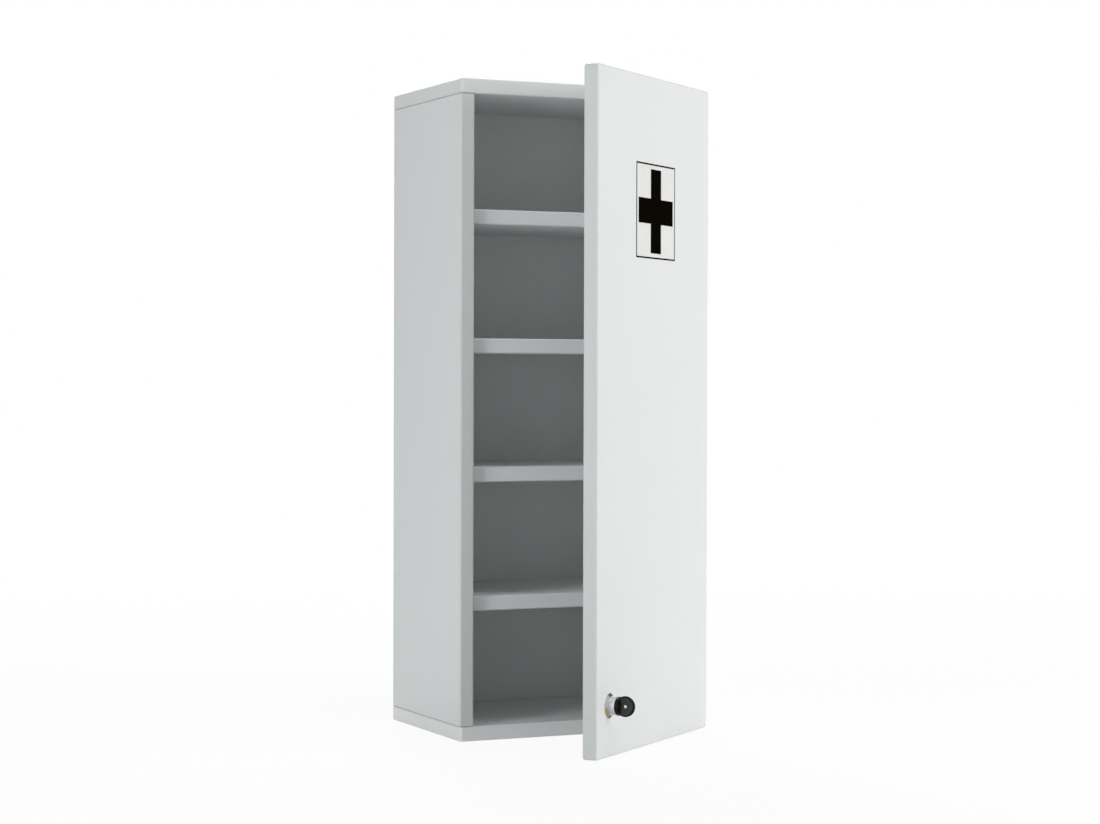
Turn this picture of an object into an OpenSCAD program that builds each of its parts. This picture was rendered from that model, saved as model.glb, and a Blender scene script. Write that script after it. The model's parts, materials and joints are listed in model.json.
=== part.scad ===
// Lockable medicine cabinet for a wall: a tall carcass of white laminated chipboard with four
// loose shelves, one door on two concealed hinges at the right, and a cam lock with its key.
// X runs to the right, Y into the cabinet and Z up. The origin is the middle of the underside.

/* [Cabinet] */
// Width over the side boards
cabinet_w = 328; // [260:1:480]
// Height over the top and bottom boards
cabinet_h = 800; // [600:1:1000]
// Depth of the side boards, without the back
board_depth = 220; // [180:1:320]
// Thickness of every chipboard panel
board_t = 18; // [15:0.5:22]
// Thickness of the hardboard back
back_t = 3; // [2.8:0.1:5]
// Distance that the back stays inside the outline
back_inset = 2; // [1:0.5:5]

/* [Edging] */
// Thickness of the plastic edging
edging_t = 2.2; // [2.1:0.1:3]
// Rounding of the edging's long arrises
arris_r = 2; // [1:0.1:2.1]
// Rounding of a panel's corners, seen on its large face
corner_r = 4; // [3.5:0.5:8]

/* [Shelves] */
// Distance of the shelves behind the front of the side boards
shelf_recess = 12; // [5:1:40]
// Play at each end of a shelf, and behind it
shelf_play = 0.5; // [0.3:0.1:1.5]
// Diameter of a shelf pin
pin_d = 5; // [4:0.5:6]
// Length of a shelf pin inside the board, and outside it
pin_half = 8; // [6:0.5:10]
// Distance of the pins from the front and the rear of the side boards
pin_margin = 50; // [35:1:80]

/* [Door] */
// Opening angle at which the door stands
door_open = 38.8; // [0:0.1:95]
// Distance that the door stays inside the carcass outline on every side
door_reveal = 2; // [1:0.5:4]
// Diameter of a door bumper
bumper_d = 8; // [6:0.5:12]
// Play between a bumper and the carcass with the door closed
bumper_play = 0.3; // [0.2:0.1:0.6]

/* [Hinges] */
// Diameter of the hinge cup
cup_d = 35; // [33:0.5:38]
// Depth of the hinge cup below the door's inner face
cup_depth = 12.3; // [11.5:0.1:13]
// Distance from the door's edge to the rim of the cup
cup_edge = 3; // [2.5:0.5:6]
// Thickness of the cup's wall, floor and flange
cup_wall = 0.8; // [0.6:0.1:0.9]
// Distance between the two screws of a cup
cup_screw_pitch = 48; // [46:1:54]
// Distance of the cup screws from the cup's centre, away from the door's edge
cup_screw_back = 6; // [5:0.5:9]
// Diameter of the pin that the door turns on
hinge_pin_d = 2.4; // [2:0.1:2.6]
// Width of the arm's knuckle between the lugs of the cup
knuckle_w = 8; // [6:0.5:9]
// Thickness of the steel round the pin
knuckle_wall = 1.05; // [0.8:0.05:1.2]
// Width of the arm where it leaves the carcass
arm_w = 14; // [12:0.5:16]
// Thickness of the arm's leg
leg_t = 2.5; // [1.5:0.1:3]
// Distance of the arm's leg from the side board
leg_gap = 2.5; // [2:0.1:3]
// Distance of the mounting plate's screws behind the front of the side board
plate_screw_y = 37; // [36:1:40]
// Distance between the two screws of a mounting plate
plate_screw_pitch = 32; // [30:1:36]

/* [Lock] */
// Distance of the lock's axis from the door's free edge
lock_from_edge = 35.5; // [34:0.5:60]
// Height of the lock's axis above the cabinet's underside
lock_z = 61.5; // [50:0.5:100]
// Diameter of the lock's barrel in the door
barrel_d = 19; // [18:0.5:20]
// Diameter of the ring at the door, and of its front face
ring_base_d = 29; // [27:0.5:34]
ring_face_d = 23; // [22.5:0.5:26]
// Height of the ring
ring_h = 3.6; // [2:0.1:5]
// Diameter and height of the barrel's head in front of the ring
head_d = 21; // [20.5:0.5:22]
head_h = 6.7; // [5:0.1:9]
// Diameter of the plug that the key turns
plug_d = 14; // [13:0.5:15]
// Size across the flats of the nut, and its height
nut_flats = 24; // [22:0.5:26]
nut_h = 5; // [4:0.5:6]
// Depth to which the turned cam enters the side board, its width and its thickness
cam_entry = 4; // [3:0.5:6]
cam_w = 14; // [12:0.5:15]
cam_t = 2; // [1.5:0.1:2.5]
// Angle by which the key has turned from open towards locked
key_turn = 0; // [0:1:90]
// Distance of the strike plate behind the front of the side board, its width and its thickness
strike_front = 5; // [4.5:0.1:7]
strike_w = 14; // [13.5:0.5:16]
strike_t = 2; // [1.5:0.1:2.5]

/* [Key] */
// Diameter and thickness of the key's round bow, and the thickness inside its rim
bow_d = 24; // [20:0.5:30]
bow_t = 4.5; // [4:0.1:6]
bow_web_t = 3; // [2.8:0.1:3.6]
// Distance of the bow's centre from the back of the collar
bow_reach = 9.2; // [8.5:0.1:16]
// Diameter and thickness of the collar between the bow and the lock
collar_d = 22; // [18:0.5:24]
collar_t = 3; // [2:0.1:4]
// Diameter of the hole for a key ring
bow_hole_d = 3.6; // [3:0.1:6]
// Width, thickness and length of the blade in the lock
blade_w = 7; // [6:0.1:8]
blade_t = 2.2; // [1.8:0.1:2.6]
blade_l = 25; // [20:0.5:26]

/* [Sign] */
// Distance of the sign's centre below the door's top edge
sign_drop = 160; // [80:1:400]
// Side of the square label
sign_w = 113; // [80:1:140]
// Thickness of the label, and of the print on it
label_t = 0.3; // [0.2:0.05:0.5]
print_t = 0.1; // [0.05:0.05:0.2]
// Width of the printed border line
border_w = 1.9; // [0.8:0.1:3]
// Length and width of the cross's arms
cross_l = 100; // [60:1:104]
cross_w = 30; // [15:1:40]

/* [Wall hangers] */
// Distance of a hanger's centre below the top of the cabinet
hanger_drop = 60; // [50:1:80]
// Height, width and thickness of a hanger plate
hanger_h = 60; // [56:1:70]
hanger_w = 14; // [13:0.5:14.5]
hanger_t = 2; // [1.5:0.1:2.5]
// Diameter of the round hole that a wall screw's head enters
entry_d = 9.5; // [8.5:0.5:10]
// Width of the slot that its shank hangs in, and the distance that the cabinet drops
slot_w = 4.8; // [4:0.1:6]
slot_drop = 12; // [9:0.5:14]

/* [Fasteners] */
// Diameter and length of a countersunk wood screw
screw_d = 3.5; // [3:0.1:4]
screw_l = 14; // [12:0.5:14.5]
// Diameter and length of a carcass screw, and the diameter of its head
carcass_screw_d = 6.4; // [5:0.1:7]
carcass_screw_l = 50; // [40:1:60]
carcass_head_d = 9.6; // [9:0.1:11]
// Distance of the carcass screws from the front and the rear of the side boards
carcass_screw_margin = 45; // [30:1:70]
// Diameter and thickness of a cover cap
cap_d = 12; // [11:0.5:13]
cap_t = 2; // [1.5:0.1:2.5]
// Diameter and length of a back nail
nail_d = 1.6; // [1.2:0.1:2]
nail_l = 20; // [16:0.5:25]
// Largest distance between back nails
nail_pitch = 130; // [80:5:200]

/* [Hidden] */
$fn = 48;

// Clearances between pieces that fit in one another
fit = 0.05;
slip = 0.1;
play = 0.2;
// Extra length of a cut past the face that it opens
over = 1;

// Finishes
laminate = [0.93, 0.94, 0.94];
edging = [0.90, 0.91, 0.91];
hardboard = [0.55, 0.42, 0.28];
nickel = [0.72, 0.72, 0.70];
zinc = [0.62, 0.63, 0.64];
chrome = [0.82, 0.84, 0.86];
black = [0.10, 0.11, 0.10];
label_white = [0.95, 0.95, 0.94];
rubber = [0.85, 0.87, 0.88];

// Carcass
cabinet_d = board_depth + back_t;
inner_x = cabinet_w - board_t;
shelf_count = 4;
shelf_step = (cabinet_h - board_t) / (shelf_count + 1);
shelf_w = cabinet_w - 2 * (board_t + shelf_play);
shelf_d = board_depth - shelf_recess - shelf_play;
compartment_h = shelf_step - board_t;
pin_rows = [pin_margin, board_depth - pin_margin];

// Door, drawn closed and then turned about its hinge pins
door_t = board_t;
door_w = cabinet_w - 2 * door_reveal;
door_h = cabinet_h - 2 * door_reveal;
cup_r = cup_d / 2;
knuckle_r = hinge_pin_d / 2 + knuckle_wall;
knuckle_play = 0.4;
// Distance of the pin from the door's edge: the knuckle just clears the round wall of the cup
cup_inner_r = cup_r - cup_wall;
cup_reach = sqrt(cup_inner_r * cup_inner_r - knuckle_w * knuckle_w / 4);
pin_edge = cup_edge + cup_r - cup_reach + knuckle_play + knuckle_r;
pin_depth = door_t / 2;
// Gap in front of the carcass: the door's rounded inner corner swings past the side board
corner_swing = norm([pin_edge - arris_r, pin_depth - arris_r]) + arris_r;
swing_clearance = 0.4;
door_gap = corner_swing - pin_depth + swing_clearance;
door_outer_y = -door_gap - door_t;
hinge_x = cabinet_w - door_reveal - pin_edge;
hinge_y = -door_gap - pin_depth;
hinge_heights = [board_t + compartment_h / 2, cabinet_h - board_t - compartment_h / 2];

// Hinge pieces
cup_x = cabinet_w - door_reveal - cup_edge - cup_r;
cup_wing_r = 6.5;
cup_screw_l = 12;
lug_w = 4.6;
lug_play = 0.5;
pin_l = knuckle_w + 2 * (lug_play + lug_w) - 1;
toe_t = hinge_pin_d;
leg_x = inner_x - leg_gap - leg_t;
arm_sheet = 1.5;
plate_t = 1.6;
rail_h = 6;
rail_lead = 13;
rail_front = plate_screw_y - rail_lead;
rail_l = 36;
rail_w = arm_w - 2 * (arm_sheet + play);
web_x = inner_x - plate_t - rail_h - play - arm_sheet;
arm_end = rail_front + rail_l + 3;
arm_bend = 8;
fixing_inset = 10;
fixing_y = arm_end - fixing_inset;
adjust_y = rail_front + 6;
plate_wing_w = 14;
machine_screw_d = 4;
machine_head_d = 8;
machine_head_h = 2.2;

// Lock pieces, measured along the lock's axis outwards from the door's outer face
strike_bar = 2.4;
cam_play = 0.5;
lock_wall = door_reveal + lock_from_edge - board_t;
cam_reach = lock_wall + cam_entry;
cam_face = -(door_t + door_gap + strike_front + strike_bar + cam_play);
barrel_end = cam_face + 0.3;
head_face = ring_h + head_h;
plug_square = 7;
cam_screw_d = 3.2;
cam_head_d = 9;
cam_head_h = 2.4;
collar_back = head_face + 0.5;
bow_centre = collar_back + bow_reach;
keyway_l = blade_l + play;

// Strike: its slot, which the cam's tip sweeps into from above, and the plate round it
cam_slot_w = cam_t + 2 * cam_play;
cam_slot_low = cam_w / 2 + 2 * cam_play;
cam_slot_high = round(10 * sqrt(cam_reach * cam_reach - lock_wall * lock_wall)) / 10 + 2 * cam_play;
cam_slot_middle = (cam_slot_high - cam_slot_low) / 2;
strike_end = 12;
strike_h = cam_slot_low + cam_slot_high + 2 * strike_end;
strike_r = 3;

// Fastener positions
carcass_screw_rows = [carcass_screw_margin, board_depth - carcass_screw_margin];
strike_screw_offset = (strike_h - strike_end) / 2;
hanger_screw_offset = hanger_h / 2 - 6;
nail_head_d = 3.4;
nail_head_h = 0.8;
nail_margin = 30;
nail_top = cabinet_h - hanger_drop - hanger_h / 2 - nail_margin;
side_nails = ceil((nail_top - nail_margin) / nail_pitch);
cross_nail_margin = board_t + nail_margin;
cross_nails = ceil((cabinet_w - 2 * cross_nail_margin) / nail_pitch);
side_nail_z = [for (i = [0 : side_nails]) nail_margin + i * (nail_top - nail_margin) / side_nails];
cross_nail_x = [for (i = [0 : cross_nails])
    cross_nail_margin + i * (cabinet_w - 2 * cross_nail_margin) / cross_nails];
nail_spots = concat(
    [for (z = side_nail_z, x = [board_t / 2, cabinet_w - board_t / 2]) [x, z]],
    [for (x = cross_nail_x, z = [board_t / 2, cabinet_h - board_t / 2]) [x, z]]
);

// ---- Frames ----

// From the cabinet's front left lower corner to the row's origin
module on_cabinet() {
    translate([-cabinet_w / 2, -cabinet_d / 2, 0]) children();
}

// The closed door's place, turned to its opening angle about the hinge pins
module on_door() {
    on_cabinet() translate([hinge_x, hinge_y, 0]) rotate([0, 0, door_open])
        translate([-hinge_x, -hinge_y, 0]) children();
}

// The lock's axis: Z points out of the door from its outer face, Y points up
module on_lock() {
    on_door() translate([door_reveal + lock_from_edge, door_outer_y, lock_z])
        rotate([90, 0, 0]) children();
}

// The lock's axis, turned with the key
module on_plug() {
    on_lock() rotate([0, 0, key_turn]) children();
}

// The same piece on the other side board
module mirrored() {
    translate([cabinet_w, 0, 0]) mirror([1, 0, 0]) children();
}

// Turns a shape that points along -Z so that it points into a board along X, Y or Z
module into_left() { rotate([0, 90, 0]) children(); }
module into_right() { rotate([0, -90, 0]) children(); }
module into_front() { rotate([-90, 0, 0]) children(); }

// ---- Fasteners, each with its head at z = 0 and its point along -Z ----

module cross_recess(size, depth) {
    arm = size * 0.28;
    for (turn = [0, 90]) rotate([0, 0, turn])
        translate([-size / 2, -arm / 2, -depth]) cube([size, arm, depth + over]);
}

module countersunk_outline(d, length, extra = 0) {
    head_r = d;
    body_r = d / 2;
    polygon([
        [0, 0], [head_r + extra, 0], [body_r + extra, body_r - head_r],
        [body_r + extra, d - length], [extra, -length - extra], [0, -length - extra]
    ]);
}

module countersunk_screw(length = screw_l) {
    difference() {
        rotate_extrude() countersunk_outline(screw_d, length);
        cross_recess(screw_d * 1.1, screw_d * 0.4);
    }
}

module countersunk_hole(length = screw_l) {
    rotate_extrude() countersunk_outline(screw_d, length, fit);
    cylinder(h = over, r = screw_d + fit);
}

module machine_screw(length) {
    difference() {
        union() {
            cylinder(h = machine_head_h, d = machine_head_d);
            translate([0, 0, -length]) cylinder(h = length, d = machine_screw_d);
        }
        translate([0, 0, machine_head_h]) cross_recess(machine_head_d * 0.6, 1.4);
    }
}

module carcass_screw_outline(extra = 0) {
    head_h = 4;
    polygon([
        [0, 0], [carcass_head_d / 2 + extra, 0], [carcass_head_d / 2 + extra, 1 - head_h],
        [carcass_screw_d / 2 + extra, -head_h], [carcass_screw_d / 2 + extra, 2 - carcass_screw_l],
        [1 + extra, -carcass_screw_l - extra], [0, -carcass_screw_l - extra]
    ]);
}

module nail() {
    translate([0, 0, -nail_head_h]) cylinder(h = nail_head_h, d = nail_head_d);
    translate([0, 0, -nail_l]) cylinder(h = nail_l, d = nail_d);
}

module nail_hole() {
    translate([0, 0, -nail_head_h]) cylinder(h = nail_head_h + over, r = nail_head_d / 2 + fit);
    translate([0, 0, -nail_l - fit]) cylinder(h = nail_l, r = nail_d / 2 + fit);
}

// ---- Edging ----

// Section of the edging: x runs into the panel from the outer face, y across the panel
module edging_section(depth) {
    translate([arris_r, 0]) square([depth - arris_r, board_t]);
    translate([0, arris_r]) square([depth, board_t - 2 * arris_r]);
    intersection() {
        for (y = [arris_r, board_t - arris_r]) translate([arris_r, y]) circle(arris_r);
        square([arris_r, board_t]);
    }
}

// A strip along +X with its outer face towards -Y and the panel's thickness along +Z
module edging_strip(length) {
    rotate([90, 0, 90]) linear_extrude(length) edging_section(edging_t);
}

// A quarter of a rounded corner, in the first quadrant about the corner's centre
module edging_corner() {
    rotate_extrude(angle = 90) translate([corner_r, 0]) mirror([1, 0])
        edging_section((edging_t + corner_r) / 2);
}

// Edging round a panel of width w along X and depth d along Y: on all four sides, or without the rear
module edging_round(w, d, rear) {
    side_l = rear ? d - 2 * corner_r : d - corner_r;
    difference() {
        union() {
            translate([corner_r, 0, 0]) edging_strip(w - 2 * corner_r);
            translate([0, corner_r + side_l, 0]) rotate([0, 0, -90]) edging_strip(side_l);
            translate([w, corner_r, 0]) rotate([0, 0, 90]) edging_strip(side_l);
            translate([corner_r, corner_r, 0]) rotate([0, 0, 180]) edging_corner();
            translate([w - corner_r, corner_r, 0]) rotate([0, 0, 270]) edging_corner();
            if (rear) {
                translate([w - corner_r, d, 0]) rotate([0, 0, 180]) edging_strip(w - 2 * corner_r);
                translate([w - corner_r, d - corner_r, 0]) edging_corner();
                translate([corner_r, d - corner_r, 0]) rotate([0, 0, 90]) edging_corner();
            }
        }
        translate([edging_t, edging_t, -over])
            cube([w - 2 * edging_t, rear ? d - 2 * edging_t : d, board_t + 2 * over]);
    }
}

// ---- Carcass ----

// A side board from its outer face at x = 0, with the holes that both side boards have
module side_board() {
    side_h = cabinet_h - 2 * board_t;
    difference() {
        translate([0, edging_t, board_t]) cube([board_t, board_depth - edging_t, side_h]);
        for (i = [1 : shelf_count], y = pin_rows) translate([board_t, y, shelf_step * i - pin_d / 2 - fit])
            into_left() translate([0, 0, -pin_half - over]) cylinder(h = pin_half + 2 * over, r = pin_d / 2 + fit);
        for (y = carcass_screw_rows) {
            translate([board_t / 2, y, cabinet_h - cap_t]) rotate_extrude() carcass_screw_outline(fit);
            translate([board_t / 2, y, cap_t]) mirror([0, 0, 1]) rotate_extrude() carcass_screw_outline(fit);
        }
        for (spot = nail_spots) if (spot[0] < board_t)
            translate([spot[0], cabinet_d, spot[1]]) into_front() nail_hole();
        hanger_place() {
            hanger_relief();
            hanger_screw_places() countersunk_hole();
        }
    }
}

module left_side() {
    color(laminate) on_cabinet() difference() {
        side_board();
        into_strike(strike_t, over) strike_outline(fit);
        into_strike(cam_entry + 3 * cam_play, over) strike_slot(cam_play);
        strike_screw_places() countersunk_hole();
    }
}

module right_side() {
    color(laminate) on_cabinet() difference() {
        mirrored() side_board();
        for (z = hinge_heights) plate_screw_places(z) countersunk_hole();
    }
}

// The core of a top or bottom board, with its screw holes entering from its outer face at z = board_t
module end_board() {
    difference() {
        translate([edging_t, edging_t, 0])
            cube([cabinet_w - 2 * edging_t, board_depth - edging_t, board_t]);
        for (x = [board_t / 2, cabinet_w - board_t / 2], y = carcass_screw_rows)
            translate([x, y, board_t - cap_t]) {
                rotate_extrude() carcass_screw_outline(fit);
                cylinder(h = cap_t + over, r = cap_d / 2 + slip);
            }
        for (spot = nail_spots) if (spot[1] > cabinet_h - board_t)
            translate([spot[0], cabinet_d, board_t / 2]) into_front() nail_hole();
    }
}

module top_panel() {
    color(laminate) on_cabinet() translate([0, 0, cabinet_h - board_t]) end_board();
}

module bottom_panel() {
    color(laminate) on_cabinet() translate([0, 0, board_t]) mirror([0, 0, 1]) end_board();
}

module top_edging() {
    color(edging) on_cabinet() translate([0, 0, cabinet_h - board_t])
        edging_round(cabinet_w, board_depth, false);
}

module bottom_edging() {
    color(edging) on_cabinet() edging_round(cabinet_w, board_depth, false);
}

module side_edging() {
    color(edging) on_cabinet() for (x = [0, inner_x])
        translate([x, 0, cabinet_h - board_t]) rotate([0, 90, 0]) edging_strip(cabinet_h - 2 * board_t);
}

module back_panel() {
    cut_w = board_t / 2 + hanger_w / 2 + play;
    cut_h = hanger_h + 2 * play;
    color(hardboard) on_cabinet() difference() {
        translate([back_inset, board_depth, back_inset])
            cube([cabinet_w - 2 * back_inset, back_t, cabinet_h - 2 * back_inset]);
        for (x = [0, cabinet_w - cut_w])
            translate([x, board_depth - over, cabinet_h - hanger_drop - cut_h / 2])
                cube([cut_w, back_t + 2 * over, cut_h]);
        for (spot = nail_spots) translate([spot[0], cabinet_d, spot[1]]) into_front() nail_hole();
    }
}

module back_nails() {
    color(zinc) on_cabinet() for (spot = nail_spots)
        translate([spot[0], cabinet_d, spot[1]]) into_front() nail();
}

module carcass_screw() {
    difference() {
        rotate_extrude() carcass_screw_outline();
        translate([0, 0, -3]) cylinder(h = 3 + over, r = 2.3, $fn = 6);
    }
}

module carcass_screws() {
    color(zinc) on_cabinet() for (x = [board_t / 2, cabinet_w - board_t / 2], y = carcass_screw_rows) {
        translate([x, y, cabinet_h - cap_t]) carcass_screw();
        translate([x, y, cap_t]) mirror([0, 0, 1]) carcass_screw();
    }
}

module cover_caps() {
    color(edging) on_cabinet()
        for (x = [board_t / 2, cabinet_w - board_t / 2], y = carcass_screw_rows, z = [0, cabinet_h - cap_t])
            translate([x, y, z]) cylinder(h = cap_t, d = cap_d);
}

// ---- Shelves ----

// A shelf's core, numbered from the bottom
module shelf(number) {
    color(laminate) on_cabinet()
        translate([board_t + shelf_play, shelf_recess + edging_t, shelf_step * number])
            cube([shelf_w, shelf_d - edging_t, board_t]);
}

module shelf_edging() {
    color(edging) on_cabinet() for (i = [1 : shelf_count])
        translate([board_t + shelf_play, shelf_recess, shelf_step * i]) edging_strip(shelf_w);
}

// A plain steel pin, half of it in the board, with a groove that takes the board's edge
module shelf_pin() {
    chamfer = 0.5;
    r = pin_d / 2;
    rotate_extrude() polygon([
        [0, -pin_half], [r - chamfer, -pin_half], [r, chamfer - pin_half], [r, -chamfer],
        [r - chamfer / 2, 0], [r, chamfer], [r, pin_half - chamfer], [r - chamfer, pin_half], [0, pin_half]
    ]);
}

module shelf_pins() {
    color(nickel) on_cabinet() for (i = [1 : shelf_count], y = pin_rows, x = [board_t, inner_x])
        translate([x, y, shelf_step * i - pin_d / 2 - fit]) rotate([0, 90, 0]) shelf_pin();
}

// ---- Wall hangers ----

// The place of the left hanger: X across the board, Z up, with its back on the board's rear edge
module hanger_place() {
    translate([board_t / 2, board_depth, cabinet_h - hanger_drop]) children();
}

module hanger_screw_places() {
    for (z = [-hanger_screw_offset, hanger_screw_offset])
        translate([0, hanger_t, z]) into_front() children();
}

// The pocket behind the hanger that the wall screw's head moves in
module hanger_relief() {
    pocket_r = entry_d / 2 + 1;
    pocket_d = 12;
    for (z = [-slot_drop / 2, slot_drop / 2]) translate([0, -pocket_d, z])
        rotate([-90, 0, 0]) cylinder(h = pocket_d + over, r = pocket_r);
    translate([-pocket_r, -pocket_d, -slot_drop / 2]) cube([2 * pocket_r, pocket_d + over, slot_drop]);
}

module hanger() {
    end_r = hanger_w / 2;
    hanger_place() difference() {
        translate([0, hanger_t, 0]) rotate([90, 0, 0]) linear_extrude(hanger_t) difference() {
            union() {
                square([hanger_w, hanger_h - 2 * end_r], center = true);
                for (z = [-1, 1]) translate([0, z * (hanger_h / 2 - end_r)]) circle(end_r);
            }
            translate([0, -slot_drop / 2]) circle(entry_d / 2);
            translate([0, slot_drop / 2]) circle(slot_w / 2);
            translate([-slot_w / 2, -slot_drop / 2]) square([slot_w, slot_drop]);
        }
        hanger_screw_places() countersunk_hole();
    }
}

module hanger_left() {
    color(zinc) on_cabinet() hanger();
}

module hanger_right() {
    color(zinc) on_cabinet() mirrored() hanger();
}

module hanger_screws() {
    color(zinc) on_cabinet() {
        hanger_place() hanger_screw_places() countersunk_screw();
        mirrored() hanger_place() hanger_screw_places() countersunk_screw();
    }
}

// ---- Strike plate, let into the left side board ----

// Extrudes an outline about the strike's middle from a depth in the board to a height above its inner face
module into_strike(depth, height = 0) {
    translate([board_t - depth, strike_front + strike_w / 2, lock_z + cam_slot_middle])
        rotate([90, 0, 90]) linear_extrude(depth + height) children();
}

module strike_outline(extra = 0) {
    square([strike_w - 2 * strike_r, strike_h + 2 * extra], center = true);
    square([strike_w + 2 * extra, strike_h - 2 * strike_r], center = true);
    for (x = [-1, 1], y = [-1, 1])
        translate([x * (strike_w / 2 - strike_r), y * (strike_h / 2 - strike_r)]) circle(strike_r + extra);
}

module strike_slot(extra = 0) {
    end = (cam_slot_low + cam_slot_high - cam_slot_w) / 2;
    translate([strike_bar + (cam_slot_w - strike_w) / 2, 0]) {
        square([cam_slot_w + 2 * extra, 2 * end], center = true);
        for (y = [-end, end]) translate([0, y]) circle(cam_slot_w / 2 + extra);
    }
}

module strike_screw_places() {
    for (z = [-strike_screw_offset, strike_screw_offset])
        translate([board_t, strike_front + strike_w / 2, lock_z + cam_slot_middle + z]) into_left() children();
}

module strike_plate() {
    color(zinc) on_cabinet() difference() {
        into_strike(strike_t) difference() {
            strike_outline();
            strike_slot();
        }
        strike_screw_places() countersunk_hole();
    }
}

module strike_screws() {
    color(zinc) on_cabinet() strike_screw_places() countersunk_screw();
}

// ---- Hinges ----

module plate_screw_places(z) {
    for (side = [-1, 1])
        translate([inner_x - plate_t, plate_screw_y, z + side * plate_screw_pitch / 2]) into_right() children();
}

module fixing_screw_place(z) {
    translate([web_x, fixing_y, z]) into_right() children();
}

// Mounting plate on the right side board: a cross-shaped base with the rail that the arm slides on
module hinge_plate(z) {
    wing_l = plate_screw_pitch + plate_wing_w;
    color(nickel) on_cabinet() difference() {
        union() {
            translate([inner_x - plate_t, plate_screw_y - plate_wing_w / 2, z - plate_screw_pitch / 2])
                cube([plate_t, plate_wing_w, plate_screw_pitch]);
            for (side = [-1, 1]) translate([inner_x - plate_t, plate_screw_y, z + side * plate_screw_pitch / 2])
                rotate([0, 90, 0]) cylinder(h = plate_t, d = plate_wing_w);
            translate([inner_x - plate_t, rail_front - 2, z - arm_w / 2])
                cube([plate_t, rail_l + 4, arm_w]);
            translate([inner_x - plate_t - rail_h, rail_front, z - rail_w / 2])
                cube([rail_h, rail_l, rail_w]);
        }
        plate_screw_places(z) countersunk_hole();
        fixing_screw_place(z) translate([0, 0, -arm_sheet - play - rail_h])
            cylinder(h = rail_h + over, r = machine_screw_d / 2 + fit);
    }
}

// Arm: a channel over the rail, bent towards the board, with a leg that reaches into the cup
module hinge_arm(z) {
    leg_back = rail_front - arm_bend - 2;
    toe_y = hinge_y - toe_t / 2;
    cheek_l = arm_end - rail_front;
    color(nickel) on_cabinet() difference() {
        union() {
            translate([web_x, rail_front, z - arm_w / 2]) cube([arm_sheet, cheek_l, arm_w]);
            for (side = [-1, 1])
                translate([web_x, rail_front, z + side * (arm_w - arm_sheet) / 2 - arm_sheet / 2])
                    cube([inner_x - plate_t - play - web_x, cheek_l, arm_sheet]);
            translate([0, 0, z - arm_w / 2]) linear_extrude(arm_w) polygon([
                [web_x, rail_front], [web_x + arm_sheet, rail_front], [leg_x + leg_t, leg_back + 2],
                [leg_x + leg_t, leg_back], [leg_x, leg_back]
            ]);
            translate([leg_x, 0, 0]) rotate([90, 0, 90]) linear_extrude(leg_t) polygon([
                [leg_back, z - arm_w / 2], [0, z - arm_w / 2], [toe_y, z - knuckle_w / 2],
                [toe_y, z + knuckle_w / 2], [0, z + arm_w / 2], [leg_back, z + arm_w / 2]
            ]);
            translate([leg_x, toe_y, z - knuckle_w / 2]) cube([hinge_x - leg_x, toe_t, knuckle_w]);
            translate([hinge_x, hinge_y, z - knuckle_w / 2]) cylinder(h = knuckle_w, r = knuckle_r);
        }
        translate([hinge_x, hinge_y, z - arm_w]) cylinder(h = 2 * arm_w, r = hinge_pin_d / 2 + fit);
        fixing_screw_place(z) translate([0, 0, -arm_sheet - over])
            cylinder(h = arm_sheet + 2 * over, r = machine_screw_d / 2 + play);
        translate([web_x - over, adjust_y, z]) rotate([0, 90, 0])
            cylinder(h = arm_sheet + 2 * over, r = machine_screw_d / 2 + fit);
    }
}

// For each hinge the screw that holds the arm on its plate, and the one that sets the door sideways
module hinge_arm_screws() {
    grub_l = 3;
    color(zinc) on_cabinet() for (z = hinge_heights) {
        fixing_screw_place(z) machine_screw(arm_sheet + play + rail_h - 1);
        translate([web_x + arm_sheet + play - fit, adjust_y, z]) into_right() difference() {
            cylinder(h = grub_l, d = machine_screw_d);
            translate([0, 0, grub_l]) cross_recess(machine_screw_d * 0.7, 1);
        }
    }
}

module hinge_plate_screws() {
    color(zinc) on_cabinet() for (z = hinge_heights) plate_screw_places(z) countersunk_screw();
}

module cup_screw_places(z) {
    for (side = [-1, 1])
        translate([cup_x - cup_screw_back, -door_gap + cup_wall, z + side * cup_screw_pitch / 2])
            into_front() children();
}

// Cup: seen from inside the cabinet, its axis along Y and its mouth at the door's inner face
module hinge_cup(z) {
    floor_y = -door_gap - cup_depth;
    color(nickel) on_door() difference() {
        union() {
            difference() {
                translate([cup_x, floor_y, z]) rotate([-90, 0, 0])
                    cylinder(h = cup_depth + cup_wall, r = cup_r);
                translate([cup_x, floor_y + cup_wall, z]) rotate([-90, 0, 0])
                    cylinder(h = cup_depth + over, r = cup_inner_r);
            }
            translate([cup_x, -door_gap, z]) rotate([-90, 0, 0]) linear_extrude(cup_wall) difference() {
                union() {
                    circle(cup_r);
                    translate([-cup_screw_back, 0])
                        square([2 * cup_wing_r, cup_screw_pitch], center = true);
                    for (side = [-1, 1]) translate([-cup_screw_back, side * cup_screw_pitch / 2])
                        circle(cup_wing_r);
                }
                circle(cup_inner_r);
            }
            intersection() {
                for (side = [-1, 1])
                    translate([
                        hinge_x - knuckle_r - 2, floor_y + cup_wall / 2,
                        z + side * (knuckle_w / 2 + lug_play + lug_w / 2) - lug_w / 2
                    ]) cube([cup_r, hinge_y + knuckle_r + 1 - floor_y, lug_w]);
                translate([cup_x, floor_y, z]) rotate([-90, 0, 0])
                    cylinder(h = cup_depth, r = cup_r - cup_wall / 2);
            }
        }
        cup_screw_places(z) countersunk_hole(cup_screw_l);
        translate([hinge_x, hinge_y, z - pin_l / 2 - slip]) cylinder(h = pin_l + 2 * slip, r = hinge_pin_d / 2);
    }
}

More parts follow.
